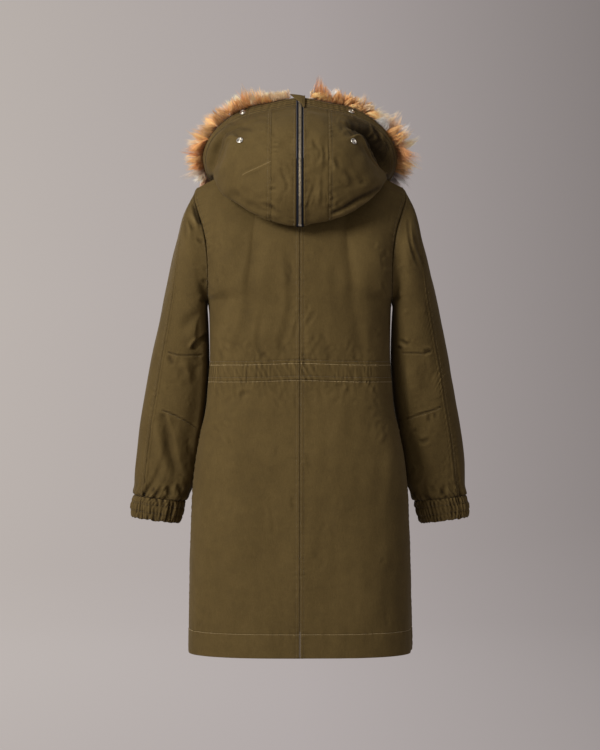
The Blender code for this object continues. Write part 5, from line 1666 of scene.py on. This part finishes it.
class Stitches:
    """Collects rows of stitches, each a short raised sliver of thread, for one joined mesh."""

    def __init__(self):
        self.points, self.faces, self.count = [], [], 0

    def row(self, path, outward, pitch=3.3, length=2.5, width=0.85, height=0.5, trim=2.0, seed="row"):
        total = run_length(path)
        at = np.arange(trim * MM, total[-1] - trim * MM, pitch * MM)
        if len(at) < 2:
            return
        random = seeded(seed + str(len(at)))
        at = at + random.normal(size=len(at)) * 0.12 * MM
        centre, ahead, behind = (sample(at + step, total, path) for step in (0, MM, -MM))
        normal = unit(sample(at, total, outward))
        tangent = unit(ahead - behind)
        sideways = unit(np.cross(normal, tangent))
        tangent = unit(tangent + sideways * (random.normal(size=(len(at), 1)) * 0.05))
        half = length * MM / 2 * (1 + random.normal(size=(len(at), 1)) * 0.06)
        spots = []
        for share, wide, high in STITCH_RINGS:
            middle = centre + tangent * half * share
            crown = middle + normal * high * height * MM
            beside = sideways * width * wide * MM / 2
            foot = middle - normal * 0.15 * MM
            spots += [foot + beside, crown, foot - beside] if wide else [crown]
        stack = np.stack(spots, axis=1)
        base = self.count + np.arange(len(at)) * len(spots)
        self.points.append(stack.reshape(-1, 3))
        self.faces.append((base[:, None, None] + STITCH_FACES[None]).reshape(-1, 3))
        self.count += len(at) * len(spots)

    def make(self, name, material):
        piece = build(name, np.concatenate(self.points), np.concatenate(self.faces).tolist(), material)
        return ride(piece)


def ride(piece, body="parka"):
    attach(piece, body)
    return piece


def stitch_torso(parts, matching, pale):
    back, front = parts["back"], parts["front"]
    for panel, which, distance, seed in (
        (back, "first_low", 7, "centre"),
        (back, "first_low", 2.2, "centre_inner"),
        (back, "first_high", 6, "side"),
        (front, "first_low", 8, "zip_edge"),
        (front, "first_high", 6, "front_side"),
    ):
        matching.row(*along_edge(panel, which, distance), seed=seed)
    for key, height in WAIST_ROWS.items():
        group = matching if key.endswith("faint") else pale
        for panel in (back, front):
            group.row(*at_height(panel, height, panel is back), seed=key, pitch=3.0, width=1.2)
    for name, panel in parts.items():
        pale.row(*along_edge(panel, "second_low", HEM_ROW / MM), seed=f"hem_{name}", pitch=3.4, width=1.15)


DART_STITCHES = {
    1: (
        ((257, -328.6), (235.5, -334.3), (210.4, -335), (188, -334)),
        ((268, -441), (242, -451.6), (220, -463.4), (202, -477)),
    ),
    -1: (
        ((-198, -329.8), (-222.7, -330.8), (-244.7, -331.1), (-256, -326.8)),
        ((-210, -458), (-228, -451.6), (-259.6, -441.8), (-274, -435.6)),
    ),
}
HOOD_DART = ((111, 7), (96, 14), (82.6, 19.9), (66, 27), (52.4, 32.6))


def stitch_sleeve(parts, cuff_panel, side, matching):
    top, under = parts["top"], parts["under"]
    for gap in (2.2, 7):
        matching.row(*along_edge(top, "first_low", gap), seed=f"sleeve{gap}")
    matching.row(*along_edge(top, "second_low", 5), seed="armhole_top")
    matching.row(*along_edge(under, "second_low", 5), seed="armhole_under")
    for points in DART_STITCHES[side]:
        matching.row(*cast([under, top], points), seed="dart", pitch=3.0)
    points = cuff_panel.points()
    for share in CUFF_ROWS:
        row = int(share * (points.shape[0] - 1))
        matching.row(points[row], cuff_panel.outward[row], seed=f"cuff{share}", pitch=3.2, width=0.8)


def stitch_hood(parts, side, matching, pale):
    centre, side_panel, brim = parts["centre"], parts["side"], parts["brim"]
    matching.row(*along_edge(centre, "first_low", 4.5), seed="hood_zip", pitch=3.0)
    for gap in (2.2, 7):
        matching.row(*along_edge(side_panel, "first_low", gap), seed=f"hood_panel{gap}")
    matching.row(*along_edge(centre, "second_high", 3), seed="centre_top")
    matching.row(*along_edge(side_panel, "second_high", 3), seed="side_top")
    fine = {"pitch": 3.0, "width": 0.4}
    for piece in (centre, side_panel):
        for row in LOWER_BRIM_ROWS:
            matching.row(*along_edge(piece, "second_high", row), seed=f"{piece.name}_{row}", **fine)
    for share in BRIM_STITCHES:
        matching.row(*at_share(brim, share), seed=f"brim{share}", **fine)
    if side > 0:
        pale.row(*cast([side_panel, centre], HOOD_DART), seed="hood_dart", pitch=3.4, width=0.62)


# ---------------------------------------------------------------------------------------------------------
# Zips, sliders and studs
# ---------------------------------------------------------------------------------------------------------


def resample(path, outward, pitch):
    """Points, normals and tangents every pitch along a path."""
    total = run_length(path)
    at = np.arange(0, total[-1], pitch)
    points = sample(at, total, path)
    return points, unit(sample(at, total, outward)), unit(np.gradient(points, axis=0))


def make_tape(name, path, outward, side, material):
    """One side's woven tape, a little thicker at its beaded inner edge."""
    points, normals, _ = resample(path, outward, 2.4 * MM)
    across = np.array((1.3, 2.2, 3.4, 4.8, 6.65)) * MM
    height = np.array((0.1, 0.25, -0.35, -0.45, -0.5)) * MM
    grid = points[None] + normals[None] * height[:, None, None]
    grid = np.array(np.broadcast_to(grid, (5, *points.shape)))
    grid[..., 0] = across[:, None]
    panel = Panel(name, grid, 1, side)
    panel.outward = np.broadcast_to(normals, grid.shape) * np.array((side, 1, 1))
    piece = make_sheet(panel, material, 1.0 * MM, 1)
    piece.name = name
    return piece


TOOTH = (
    # share of the way from the tape (0) to the tip (1), half width along the zip, low and high in mm
    (0.0, 0.52, -0.1, 1.15),
    (0.45, 0.48, -0.05, 1.30),
    (0.80, 0.60, 0.0, 1.35),
    (1.0, 0.44, 0.15, 1.15),
)
TOOTH_PITCH = 2.4 * MM
TOOTH_ROOT = 2.7 * MM
TOOTH_TIP = -0.9 * MM


def make_teeth(name, path, outward, side, material):
    """A row of metal teeth whose tips reach across the centre line between the other row's."""
    points, normals, tangents = resample(path, outward, TOOTH_PITCH / 2)
    start = 0 if side > 0 else 1
    points, normals, tangents = points[start::2], normals[start::2], tangents[start::2]
    rings = []
    for share, half, low, high in TOOTH:
        x = side * (TOOTH_ROOT + (TOOTH_TIP - TOOTH_ROOT) * share)
        for along, height in ((-half, low), (half, low), (half * 0.8, high), (-half * 0.8, high)):
            spot = points + tangents * along * MM + normals * (height + 0.25) * MM
            spot[:, 0] = x
            rings.append(spot)
    stack = np.stack(rings, axis=1)
    faces = []
    for ring in range(len(TOOTH) - 1):
        for k in range(4):
            following = (k + 1) % 4
            here, ahead = ring * 4, ring * 4 + 4
            faces.append((here + k, here + following, ahead + following, ahead + k))
    last = (len(TOOTH) - 1) * 4
    faces += [(0, 3, 2, 1), (last, last + 1, last + 2, last + 3)]
    base = np.arange(len(points)) * len(TOOTH) * 4
    every = (base[:, None, None] + np.array(faces)[None]).reshape(-1, 4)
    piece = build(name, stack.reshape(-1, 3), every.tolist(), material)
    piece.data.set_sharp_from_angle(angle=math.radians(35))
    return piece


def lathe(profile, sides):
    """Points (ring, side, 3) of a turned profile about Z, rows being radius and height in mm."""
    angle = 2 * math.pi * np.arange(sides) / sides
    radius = np.array([row[0] for row in profile])[:, None] * MM
    height = np.array([row[1] for row in profile])[:, None] * MM
    return np.stack([radius * np.cos(angle), radius * np.sin(angle), height + 0 * angle], axis=-1)


STUD_PROFILE = (
    (0.2, -0.6), (5.6, -0.5), (6.6, -0.2), (6.8, 0.4), (6.6, 1.1), (6.0, 1.7),
    (5.2, 2.05), (4.5, 2.0), (4.0, 1.6), (3.7, 0.9), (3.5, 0.4), (3.0, 0.25),
    (2.4, 0.35), (2.1, 0.8), (1.8, 1.25), (1.2, 1.5), (0.2, 1.55),
)
STUD_SIDES = 28
STUD_PROUD = 0.5 * MM


def make_stud(name, centre, outward, material):
    """A ring snap stud: a rolled flange round a dark well with a small post."""
    points = lathe(STUD_PROFILE, STUD_SIDES)
    z = unit(outward)
    x = unit(np.cross((0, 0, 1.0), z))
    y = np.cross(z, x)
    world = centre + points[..., 0:1] * x + points[..., 1:2] * y + points[..., 2:3] * z
    piece = build(name, world.reshape(-1, 3), tube_faces(len(STUD_PROFILE), STUD_SIDES), material)
    piece.data.set_sharp_from_angle(angle=math.radians(50))
    return piece


def hood_frame(surface, section, line):
    """A point of the hood's curved surface, with its normal and the way up along it."""
    around = np.array([section, section + STEP, section])
    lines = np.array([line, line, line + STEP])
    point, across, above = surface(around, lines)
    climb = unit(above - point)
    outward = unit(np.cross(climb, across - point))
    return point, outward if outward[1] > 0 or outward[2] > 0 else -outward, climb


def make_studs(side, name_side, surface, panels, material):
    mirror = np.array((side, 1, 1))
    for name, (section, line) in STUDS[name_side].items():
        point, outward, _ = hood_frame(surface, section, line)
        point, outward = point * mirror, outward * mirror
        panel = panels["brim"] if name == "stud_upper" else panels["side"]
        hit = panel.surface_tree().find_nearest(Vector(point))
        seat = np.array(hit[0])
        normal = np.array(hit[1]) if np.dot(hit[1], outward) > 0 else -np.array(hit[1])
        outward = unit(outward + normal)
        centre = seat + outward * STUD_PROUD
        piece = make_stud(f"snap_{name}_{name_side}", centre, outward, material)
        ride(piece)
        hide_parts(f"{name}_{name_side}")


# ---------------------------------------------------------------------------------------------------------
# Fur
# ---------------------------------------------------------------------------------------------------------

FUR_COLOURS = {
    "peach": ((0.84, 0.54, 0.29), (1.0, 0.80, 0.54)),
    "orange": ((0.74, 0.38, 0.13), (1.0, 0.62, 0.27)),
    "rust": ((0.54, 0.24, 0.085), (0.90, 0.46, 0.18)),
    "straw": ((0.80, 0.45, 0.23), (1.0, 0.72, 0.46)),
    "white": ((0.90, 0.83, 0.78), (1.0, 1.0, 0.98)),
    "lilac": ((0.74, 0.60, 0.55), (1.0, 0.90, 0.85)),
    "grey": ((0.50, 0.41, 0.38), (0.84, 0.75, 0.71)),
    "cream": ((0.88, 0.58, 0.40), (1.0, 0.84, 0.68)),
    "brown": ((0.38, 0.21, 0.12), (0.74, 0.46, 0.28)),
}
# Zones round each side's rim by hood section: colours with their shares, length in mm and lean.
FUR_ZONES = {
    1: (
        (0.36, (("cream", 1), ("peach", 3)), 10, -0.4),
        (0.6, (("peach", 4), ("cream", 1)), 13, 0.1),
        (0.9, (("peach", 5), ("orange", 1)), 16, 0.2),
        (1.45, (("orange", 2), ("lilac", 1), ("peach", 2)), 20, 0.1),
        (1.75, (("orange", 4), ("peach", 2)), 30, 0.25),
        (2.15, (("orange", 5), ("rust", 1), ("peach", 1)), 37, 0.0),
        (2.6, (("orange", 4), ("peach", 1)), 27, -0.2),
        (2.85, (("lilac", 2), ("grey", 1), ("orange", 3)), 29, 0.2),
        (3.25, (("lilac", 2), ("orange", 5), ("peach", 1)), 30, 0.45),
        (3.8, (("lilac", 2), ("straw", 2), ("orange", 3)), 36, 0.3),
        (4.35, (("orange", 4), ("peach", 2), ("rust", 1)), 38, 0.1),
        (4.9, (("rust", 3), ("orange", 3)), 41, -0.1),
        (5.4, (("orange", 3), ("rust", 2)), 37, 0.0),
        (5.9, (("orange", 2), ("cream", 3)), 34, 0.2),
        (6.4, (("cream", 4), ("peach", 1)), 34, 0.1),
        (7.2, (("orange", 2), ("cream", 2), ("brown", 1)), 31, 0.0),
        (8.2, (("orange", 3), ("rust", 1), ("grey", 1)), 31, 0.0),
        (9.0, (("peach", 2), ("orange", 2)), 26, 0.0),
    ),
    -1: (
        (0.36, (("cream", 1), ("peach", 2)), 10, -0.4),
        (0.5, (("lilac", 1), ("peach", 2)), 14, 0.2),
        (0.7, (("rust", 4), ("orange", 1)), 33, 0.1),
        (0.9, (("rust", 3), ("orange", 2)), 24, -0.2),
        (1.1, (("white", 5), ("peach", 1)), 28, 0.5),
        (1.4, (("orange", 3), ("rust", 1), ("white", 1)), 27, -0.4),
        (1.75, (("orange", 3), ("lilac", 1), ("rust", 1)), 22, -0.1),
        (2.1, (("lilac", 2), ("peach", 2), ("orange", 2)), 23, 0.1),
        (2.55, (("orange", 5), ("peach", 1)), 27, 0.1),
        (2.9, (("white", 1), ("cream", 2), ("orange", 2)), 20, 0.4),
        (3.3, (("white", 2), ("orange", 2), ("peach", 3)), 24, 0.2),
        (3.65, (("straw", 3), ("orange", 3)), 38, -0.3),
        (4.05, (("straw", 2), ("orange", 4), ("rust", 1)), 42, -0.6),
        (4.35, (("white", 5), ("lilac", 1)), 42, -0.3),
        (4.75, (("orange", 3), ("rust", 1), ("straw", 1)), 45, 0.1),
        (5.2, (("orange", 3), ("rust", 2), ("brown", 1)), 43, 0.4),
        (5.7, (("orange", 2), ("brown", 1), ("white", 1)), 38, 0.6),
        (6.1, (("white", 3), ("lilac", 1), ("grey", 1)), 36, 0.5),
        (6.7, (("white", 3), ("grey", 2), ("lilac", 1)), 32, 0.3),
        (7.4, (("orange", 2), ("cream", 2), ("brown", 1)), 31, 0.0),
        (8.3, (("orange", 3), ("rust", 1), ("grey", 1)), 31, 0.0),
        (9.0, (("peach", 2), ("orange", 2)), 26, 0.0),
    ),
}
FUR_TUFTS = 210
FUR_GUARD = 11500  # long outer strands a side
FUR_UNDER = 6500  # short woolly strands a side
FUR_CORE = 5.0 * MM  # the strip's radius, where the strands are rooted
FUR_ROOTS = math.radians(168)  # how far round the strip strands are rooted, either way of its reach
FUR_FAN = 0.62  # how far strands fan out, as a share of their root's angle
FUR_SAG = 0.18
WISP_SHARE, WISP_LENGTH = 0.07, 1.22  # a few strands stand out beyond their tuft
UNDER_LENGTH, UNDER_WIDTH = 0.55, 1.5  # the woolly strands, as shares of a long one
TUFT_SPREAD = 2.2  # what one section along the rim counts against one radian round the strip
SKIN_RINGS, SKIN_SIDES = 260, 16
SKIN_RADIUS = 4.8 * MM
# the fur's skin is darkened to this share of its zone's colour: painted shade at the strands' roots
SKIN_SHADE = 0.36


def rim_lengths(surface):
    """Sections along the furred rim, and the length along it up to each."""
    at = np.linspace(FUR_START, HOOD_END, 400)
    return at, run_length(surface(at, np.full_like(at, RIM_LINE)))


def fur_frame(surface, sections):
    """Rim points with the way the fur reaches, the way across its strip and the way along the rim."""
    line = np.full_like(sections, RIM_LINE)
    rim = surface(sections, line)
    inside = surface(sections, line - 0.05)
    ahead = surface(np.clip(sections + 0.01, 0, HOOD_END), line)
    behind = surface(np.clip(sections - 0.01, 0, HOOD_END), line)
    along = unit(ahead - behind)
    out = unit(rim - inside)
    outward = unit(np.cross(along, out))
    outward = np.where((outward * np.array((0.4, 0.6, 0.7))).sum(-1, keepdims=True) > 0, outward, -outward)
    reach = unit(out + FUR_SPLAY * outward)
    across = unit(outward - reach * np.sum(outward * reach, axis=-1, keepdims=True))
    return rim - outward * WALL / 2, reach, across, along


def zone_values(side, sections):
    """Length, lean and zone number at these sections."""
    zones = FUR_ZONES[side]
    at = np.array([zone[0] for zone in zones])
    length = np.interp(sections, at, [zone[2] for zone in zones]) * MM
    lean = np.interp(sections, at, [zone[3] for zone in zones])
    middle = np.concatenate([(at[1:] + at[:-1]) / 2, [99]])
    return length, lean, np.searchsorted(middle, sections)


def strands(surface, side, random, tufts, count, under):
    """Root, first direction, bend, length, half width and colours of every strand."""
    at, lengths = rim_lengths(surface)
    sections = np.interp(random.random(count) * lengths[-1], lengths, at)
    angle = (random.random(count) * 2 - 1) * FUR_ROOTS
    base, reach, across, along = fur_frame(surface, sections)
    away = (sections[:, None] - tufts["section"][None]) * TUFT_SPREAD
    turned = angle[:, None] - tufts["angle"][None]
    tuft = (away**2 + turned**2).argmin(1)
    around = reach * np.cos(angle)[:, None] + across * np.sin(angle)[:, None]
    root = base + reach * FUR_CORE + around * FUR_CORE * (0.6 + 0.5 * random.random((count, 1)))
    swept = angle * FUR_FAN
    direction = reach * np.cos(swept)[:, None] + across * np.sin(swept)[:, None]
    length, lean, _ = zone_values(side, tufts["section"][tuft])
    flat = 0.74 + 0.26 * np.cos(swept) ** 2
    wisps = np.where(random.random(count) < WISP_SHARE, WISP_LENGTH, 1.0)
    length = length * flat * (0.70 + 0.38 * random.random(count)) * tufts["grow"][tuft] * wisps
    if under:
        length = length * UNDER_LENGTH
    lean = lean + tufts["lean"][tuft]
    bend = along * lean[:, None] + tufts["bend"][tuft] + random.normal(size=(count, 3)) * 0.16
    bend[:, 2] -= FUR_SAG
    heart_base, heart_reach, heart_across, _ = fur_frame(surface, tufts["section"])
    turn = tufts["angle"][:, None]
    heart = heart_reach * np.cos(turn) + heart_across * np.sin(turn)
    tip = heart_base + heart_reach * 3 * MM + heart * (FUR_CORE + length.mean() * 1.5)
    gather = tip[tuft] - root
    pull = gather - direction * np.sum(gather * direction, axis=1, keepdims=True)
    pull = pull / length.mean() * (0.35 if under else 0.55)
    width = (0.24 + 0.22 * random.random(count)) * MM * (UNDER_WIDTH if under else 1.0)
    low, high = tufts["low"][tuft], tufts["high"][tuft]
    jitter = 1 + random.normal(size=(count, 1)) * 0.10
    if under:
        low, high = low * 0.9, low * 0.6 + high * 0.4
    return root, unit(direction), bend * 0.45 + pull, length, width, low * jitter, high * jitter


def make_tufts(side, random, surface):
    """Where each tuft stands, how long it grows, how it leans and bends, and its colours."""
    at, lengths = rim_lengths(surface)
    even = np.linspace(0, lengths[-1], FUR_TUFTS)
    where = np.interp(even + random.normal(size=FUR_TUFTS) * 3 * MM, lengths, at)
    tufts = {
        "section": where,
        "angle": (random.random(FUR_TUFTS) * 2 - 1) * math.radians(100),
        "grow": 0.88 + 0.34 * random.random(FUR_TUFTS),
        "lean": random.normal(size=FUR_TUFTS) * 0.28,
        "bend": random.normal(size=(FUR_TUFTS, 3)) * 0.22,
    }
    _, _, zone = zone_values(side, where + random.normal(size=FUR_TUFTS) * 0.05)
    low, high = [], []
    for number in zone:
        names, shares = zip(*FUR_ZONES[side][number][1])
        name = random.choice(names, p=np.array(shares) / sum(shares))
        shift = 1 + random.normal() * 0.12
        low.append(np.array(FUR_COLOURS[name][0]) * shift)
        high.append(np.array(FUR_COLOURS[name][1]) * shift)
    tufts["low"], tufts["high"] = np.array(low), np.array(high)
    return tufts


def make_fur(side, name_side, surface, material):
    random = seeded(f"fur_{name_side}")
    tufts = make_tufts(side, random, surface)
    mirror = np.array((side, 1, 1))
    for name, count, under in (("guard", FUR_GUARD, False), ("under", FUR_UNDER, True)):
        made = strands(surface, side, random, tufts, count, under)
        piece = ribbon_mesh(f"fur_{name}_{name_side}", made, random, mirror, material, 3 if under else 4)
        ride(piece)
    core = fur_core(f"fur_skin_{name_side}", surface, side, mirror, material)
    ride(core)
    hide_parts(f"fur_{name_side}")


def ribbon_mesh(name, made, random, mirror, material, segments):
    """Every strand as a flat ribbon that narrows to a point, joined in one mesh."""
    root, direction, bend, length, width, low, high = made
    count = len(root)
    helper = unit(random.normal(size=(count, 3)))
    sideways = unit(np.cross(direction, helper))
    levels, colours = [], []
    for level in range(segments + 1):
        share = level / segments
        ahead = (length * share * (1 - 0.12 * share))[:, None]
        spot = root + direction * ahead + bend * (length * share**2 * 0.9)[:, None]
        colour = low + (high - low) * smooth_step(np.array(share / 0.65))
        if level == segments:
            levels.append([spot])
            colours.append([colour])
        else:
            half = (width * (1 - 0.55 * share**1.5))[:, None]
            levels.append([spot - sideways * half, spot + sideways * half])
            colours.append([colour, colour])
    stack = np.stack([p for level in levels for p in level], axis=1) * mirror
    shades = np.stack([p for level in colours for p in level], axis=1)
    each = stack.shape[1]
    pattern = [(2 * k, 2 * k + 1, 2 * k + 3, 2 * k + 2) for k in range(segments - 1)]
    base = np.arange(count) * each
    faces = (base[:, None, None] + np.array(pattern)[None]).reshape(-1, 4).tolist()
    tips = (base[:, None] + np.array((each - 3, each - 2, each - 1))[None]).tolist()
    shades = np.clip(shades.reshape(-1, 3), 0.01, 1)
    return build(name, stack.reshape(-1, 3), faces + tips, material, colours=shades, recalculate=False)


def fur_core(name, surface, side, mirror, material):
    """The dense skin of short fur under the strands: an uneven rounded strip along the rim."""
    at = np.linspace(FUR_START, HOOD_END, SKIN_RINGS)
    base, reach, across, _ = fur_frame(surface, at)
    angle = 2 * math.pi * np.arange(SKIN_SIDES) / SKIN_SIDES
    lumps = waves(np.linspace(0, 0.6, SKIN_RINGS), f"{name}_lumps", 9 * MM, 30 * MM)[:, None]
    radius = SKIN_RADIUS * (1 + 0.16 * np.cos(5 * angle)[None] * lumps)
    ring = np.arange(SKIN_RINGS)
    radius = radius * np.clip(np.minimum(ring, ring[::-1]) / 6, 0.25, 1)[:, None]
    points = (
        (base + reach * 5.5 * MM)[:, None]
        + reach[:, None] * (radius * np.cos(angle))[..., None] * 0.9
        + across[:, None] * (radius * np.sin(angle))[..., None] * 1.1
    )
    _, _, zone = zone_values(side, at)
    main_colours = [FUR_COLOURS[FUR_ZONES[side][k][1][0][0]][0] for k in zone]
    # painted shade: the skin takes its zone's root colour darkened by SKIN_SHADE
    colours = np.repeat(np.array(main_colours)[:, None] * SKIN_SHADE, SKIN_SIDES, axis=1).reshape(-1, 3)
    faces = tube_faces(SKIN_RINGS, SKIN_SIDES)
    return build(name, (points * mirror).reshape(-1, 3), faces, material, colours=colours)


# ---------------------------------------------------------------------------------------------------------
# The whole garment
# ---------------------------------------------------------------------------------------------------------


def centre_line(points, beside, facing):
    """A line on the garment's middle plane with its normals, turned to the side that facing names."""
    ahead = unit(np.gradient(points, axis=0))
    outward = unit(np.cross(ahead, beside - points))
    toward = (outward * np.array(facing)).sum(-1, keepdims=True)
    outward = np.where(toward > 0, outward, -outward)
    outward[:, 0] = 0
    return points, unit(outward)


def front_line():
    """The front centre line on the torso with its normals."""
    up = np.concatenate([np.linspace(0.02, 1, 200), np.linspace(1, 2, 100)[1:]])
    beside = torso(np.full_like(up, 0.02), up, False)
    return centre_line(torso(np.zeros_like(up), up, False), beside, (0, -1, 0))


def hood_line(surface):
    """The hood's centre line under its zip with its normals."""
    lines = np.linspace(FOLD_LINE + 0.05, HOOD_ZIP_TOP, 160)
    beside = surface(np.full_like(lines, 0.05), lines)
    return centre_line(surface(np.zeros_like(lines), lines), beside, (0, 1, 1))


def make_zips(surface, tape, metal):
    lines = {"front_zip": front_line(), "hood_zip": hood_line(surface)}
    for side, name_side in SIDES:
        for name, (path, outward) in lines.items():
            strip = make_tape(f"{name}_tape_{name_side}", path, outward, side, tape)
            ride(strip)
            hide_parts(f"{name}_{name_side}")
            teeth = make_teeth(f"{name}_teeth_{name_side}", path[2:-2], outward[2:-2], side, metal)
            ride(teeth)


def declare(sheets):
    """Rides every cloth piece on the parka and hides the CAD part of the same name."""
    for name, piece in sheets.items():
        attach(piece, "parka")
        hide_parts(name)


def main():
    cloth = cloth_material("olive_twill")
    thread = thread_material("thread_olive", (0.150, 0.104, 0.045))
    pale_thread = thread_material("thread_pale", (0.62, 0.47, 0.24))
    tape = tape_material("zip_tape_navy")
    steel = metal_material("nickel_bright", (0.72, 0.69, 0.63), 0.30)
    brass = metal_material("nickel_warm", (0.84, 0.73, 0.55), 0.42, (0.42, 0.34, 0.23))
    tooth_metal = metal_material("zip_teeth_old_brass", (0.52, 0.44, 0.31), 0.45, (0.26, 0.21, 0.14))
    coat = fur_material("fur_coat")
    sheets, surfaces = {}, {}
    for side, name_side in SIDES:
        torso_parts, made = make_torso(side, name_side, cloth)
        sheets.update(made)
        sleeve_parts, made = make_sleeve(side, name_side, cloth)
        sheets.update(made)
        cuff_part, made = make_cuff(side, name_side, cloth)
        sheets[cuff_part.name] = made
        surface, hood_parts, made = make_hood(side, name_side, cloth)
        sheets.update(made)
        surfaces[side] = surface
        matching, pale = Stitches(), Stitches()
        stitch_torso(torso_parts, matching, pale)
        stitch_sleeve(sleeve_parts, cuff_part, side, matching)
        stitch_hood(hood_parts, side, matching, pale)
        matching.make(f"stitches_{name_side}", thread)
        pale.make(f"stitches_pale_{name_side}", pale_thread)
        make_studs(side, name_side, surface, hood_parts, steel)
        make_fur(side, name_side, surface, coat)
    make_zips(surfaces[1], tape, tooth_metal)
    tab = make_tab(surfaces[1], cloth)
    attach(tab, "parka")
    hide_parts("hood_tab")
    declare(sheets)
    for name in ("hood_zip_slider", "hood_zip_stop", "front_zip_slider", "front_zip_pull"):
        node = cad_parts[name]
        node.data.materials.clear()
        node.data.materials.append(steel if name.startswith("hood") else brass)


# ---------------------------------------------------------------------------------------------------------
# Stage, light and camera
# ---------------------------------------------------------------------------------------------------------

CAMERA_Y = 4.9
CAMERA_Z = -0.3705
METRES_PER_PIXEL = 1.95 * MM  # at the garment's middle plane, which the lens is worked out from
FRAME_HEIGHT = 750
SENSOR = 36.0
FLOOR = -1.42  # where the wearer would stand
# Radius and height of the sweep that the garment stands in.
BOWL = ((3.0, 0.0), (5.2, 0.06), (6.8, 0.45), (8.0, 1.4), (8.8, 3.0), (9.2, 5.5), (9.3, 9.0), (9.3, 13.0))
SWEEP_SIDES = 96
SWEEP_DARK = (0.215, 0.190, 0.186)
SWEEP_MID = (0.390, 0.348, 0.342)
SWEEP_LIGHT = (0.480, 0.433, 0.403)


def backdrop_material():
    """A pale sweep that is a little brighter on the side of the main light."""
    n = Nodes("backdrop_pale")
    place = n.add("ShaderNodeNewGeometry").outputs["Position"]
    parts = n.add("ShaderNodeSeparateXYZ", {"Vector": place})
    sideways = n.math("MULTIPLY_ADD", parts.outputs["X"], 0.30, 0.5)
    colour = n.ramp(sideways, (0.0, SWEEP_DARK), (0.5, SWEEP_MID), (1.0, SWEEP_LIGHT))
    higher = n.math("MULTIPLY_ADD", parts.outputs["Z"], -0.035, 1.0)
    higher = n.math("MINIMUM", n.math("MAXIMUM", higher, 0.86), 1.0)
    n.set(Base_Color=(0.05, 0.05, 0.05, 1), Roughness=1.0, Specular_IOR_Level=0.0)
    # the sweep glows: painted light, brighter towards +x on the main light's side and a little darker higher
    # up
    n.put(n.shader.inputs["Emission Color"], colour)
    n.put(n.shader.inputs["Emission Strength"], higher)
    return n.material


def make_stage():
    angle = 2 * math.pi * np.arange(SWEEP_SIDES) / SWEEP_SIDES
    points = [(r * math.cos(a), r * math.sin(a), FLOOR + h) for r, h in BOWL for a in angle]
    points.append((0, 0, FLOOR))
    faces = []
    for k in range(SWEEP_SIDES):
        following = (k + 1) % SWEEP_SIDES
        faces.append((len(points) - 1, k, following))
        for ring in range(len(BOWL) - 1):
            low = ring * SWEEP_SIDES
            high = low + SWEEP_SIDES
            faces.append((low + k, high + k, high + following, low + following))
    bowl = build("studio_sweep", points, faces, backdrop_material(), recalculate=False)


# Name, place, what it is turned to, its disk's width, its power in watts and its colour.
LIGHTS = (
    ("key", (2.7, 3.0, 1.6), (0, 0, 2.2), 1.9, 215, (1, 0.97, 0.92)),
    ("fill", (-2.6, 4.6, 0.4), (0, 0, -0.4), 2.6, 13, (0.96, 0.98, 1)),
    ("front_fill", (1.0, -4.6, 1.6), (0, 0, -0.4), 2.6, 110, (1, 1, 1)),
)


def make_light(name, place, target, size, watts, colour):
    lamp = bpy.data.lights.new(name, "AREA")
    lamp.shape = "DISK"
    lamp.size = size
    lamp.energy = watts
    lamp.color = colour
    light = bpy.data.objects.new(name, lamp)
    light.location = place
    light.rotation_euler = (Vector(target) - Vector(place)).to_track_quat("-Z", "Y").to_euler()
    light.visible_camera = False
    bpy.context.scene.collection.objects.link(light)


def make_studio():
    scene = bpy.context.scene
    scene.view_settings.view_transform = "Standard"
    world = bpy.data.worlds.new("studio")
    world.use_nodes = True
    background = world.node_tree.nodes["Background"]
    background.inputs["Color"].default_value = (1, 0.98, 0.95, 1)
    background.inputs["Strength"].default_value = 0.5
    scene.world = world
    for light in LIGHTS:
        make_light(*light)
    data = bpy.data.cameras.new("camera")
    data.sensor_width = SENSOR
    data.lens = SENSOR * CAMERA_Y / (FRAME_HEIGHT * METRES_PER_PIXEL)
    data.clip_end = 60
    camera = bpy.data.objects.new("camera", data)
    camera.location = (0, CAMERA_Y, CAMERA_Z)
    camera.rotation_euler = (math.pi / 2, 0, math.pi)
    scene.collection.objects.link(camera)
    scene.camera = camera


main()
make_stage()
make_studio()
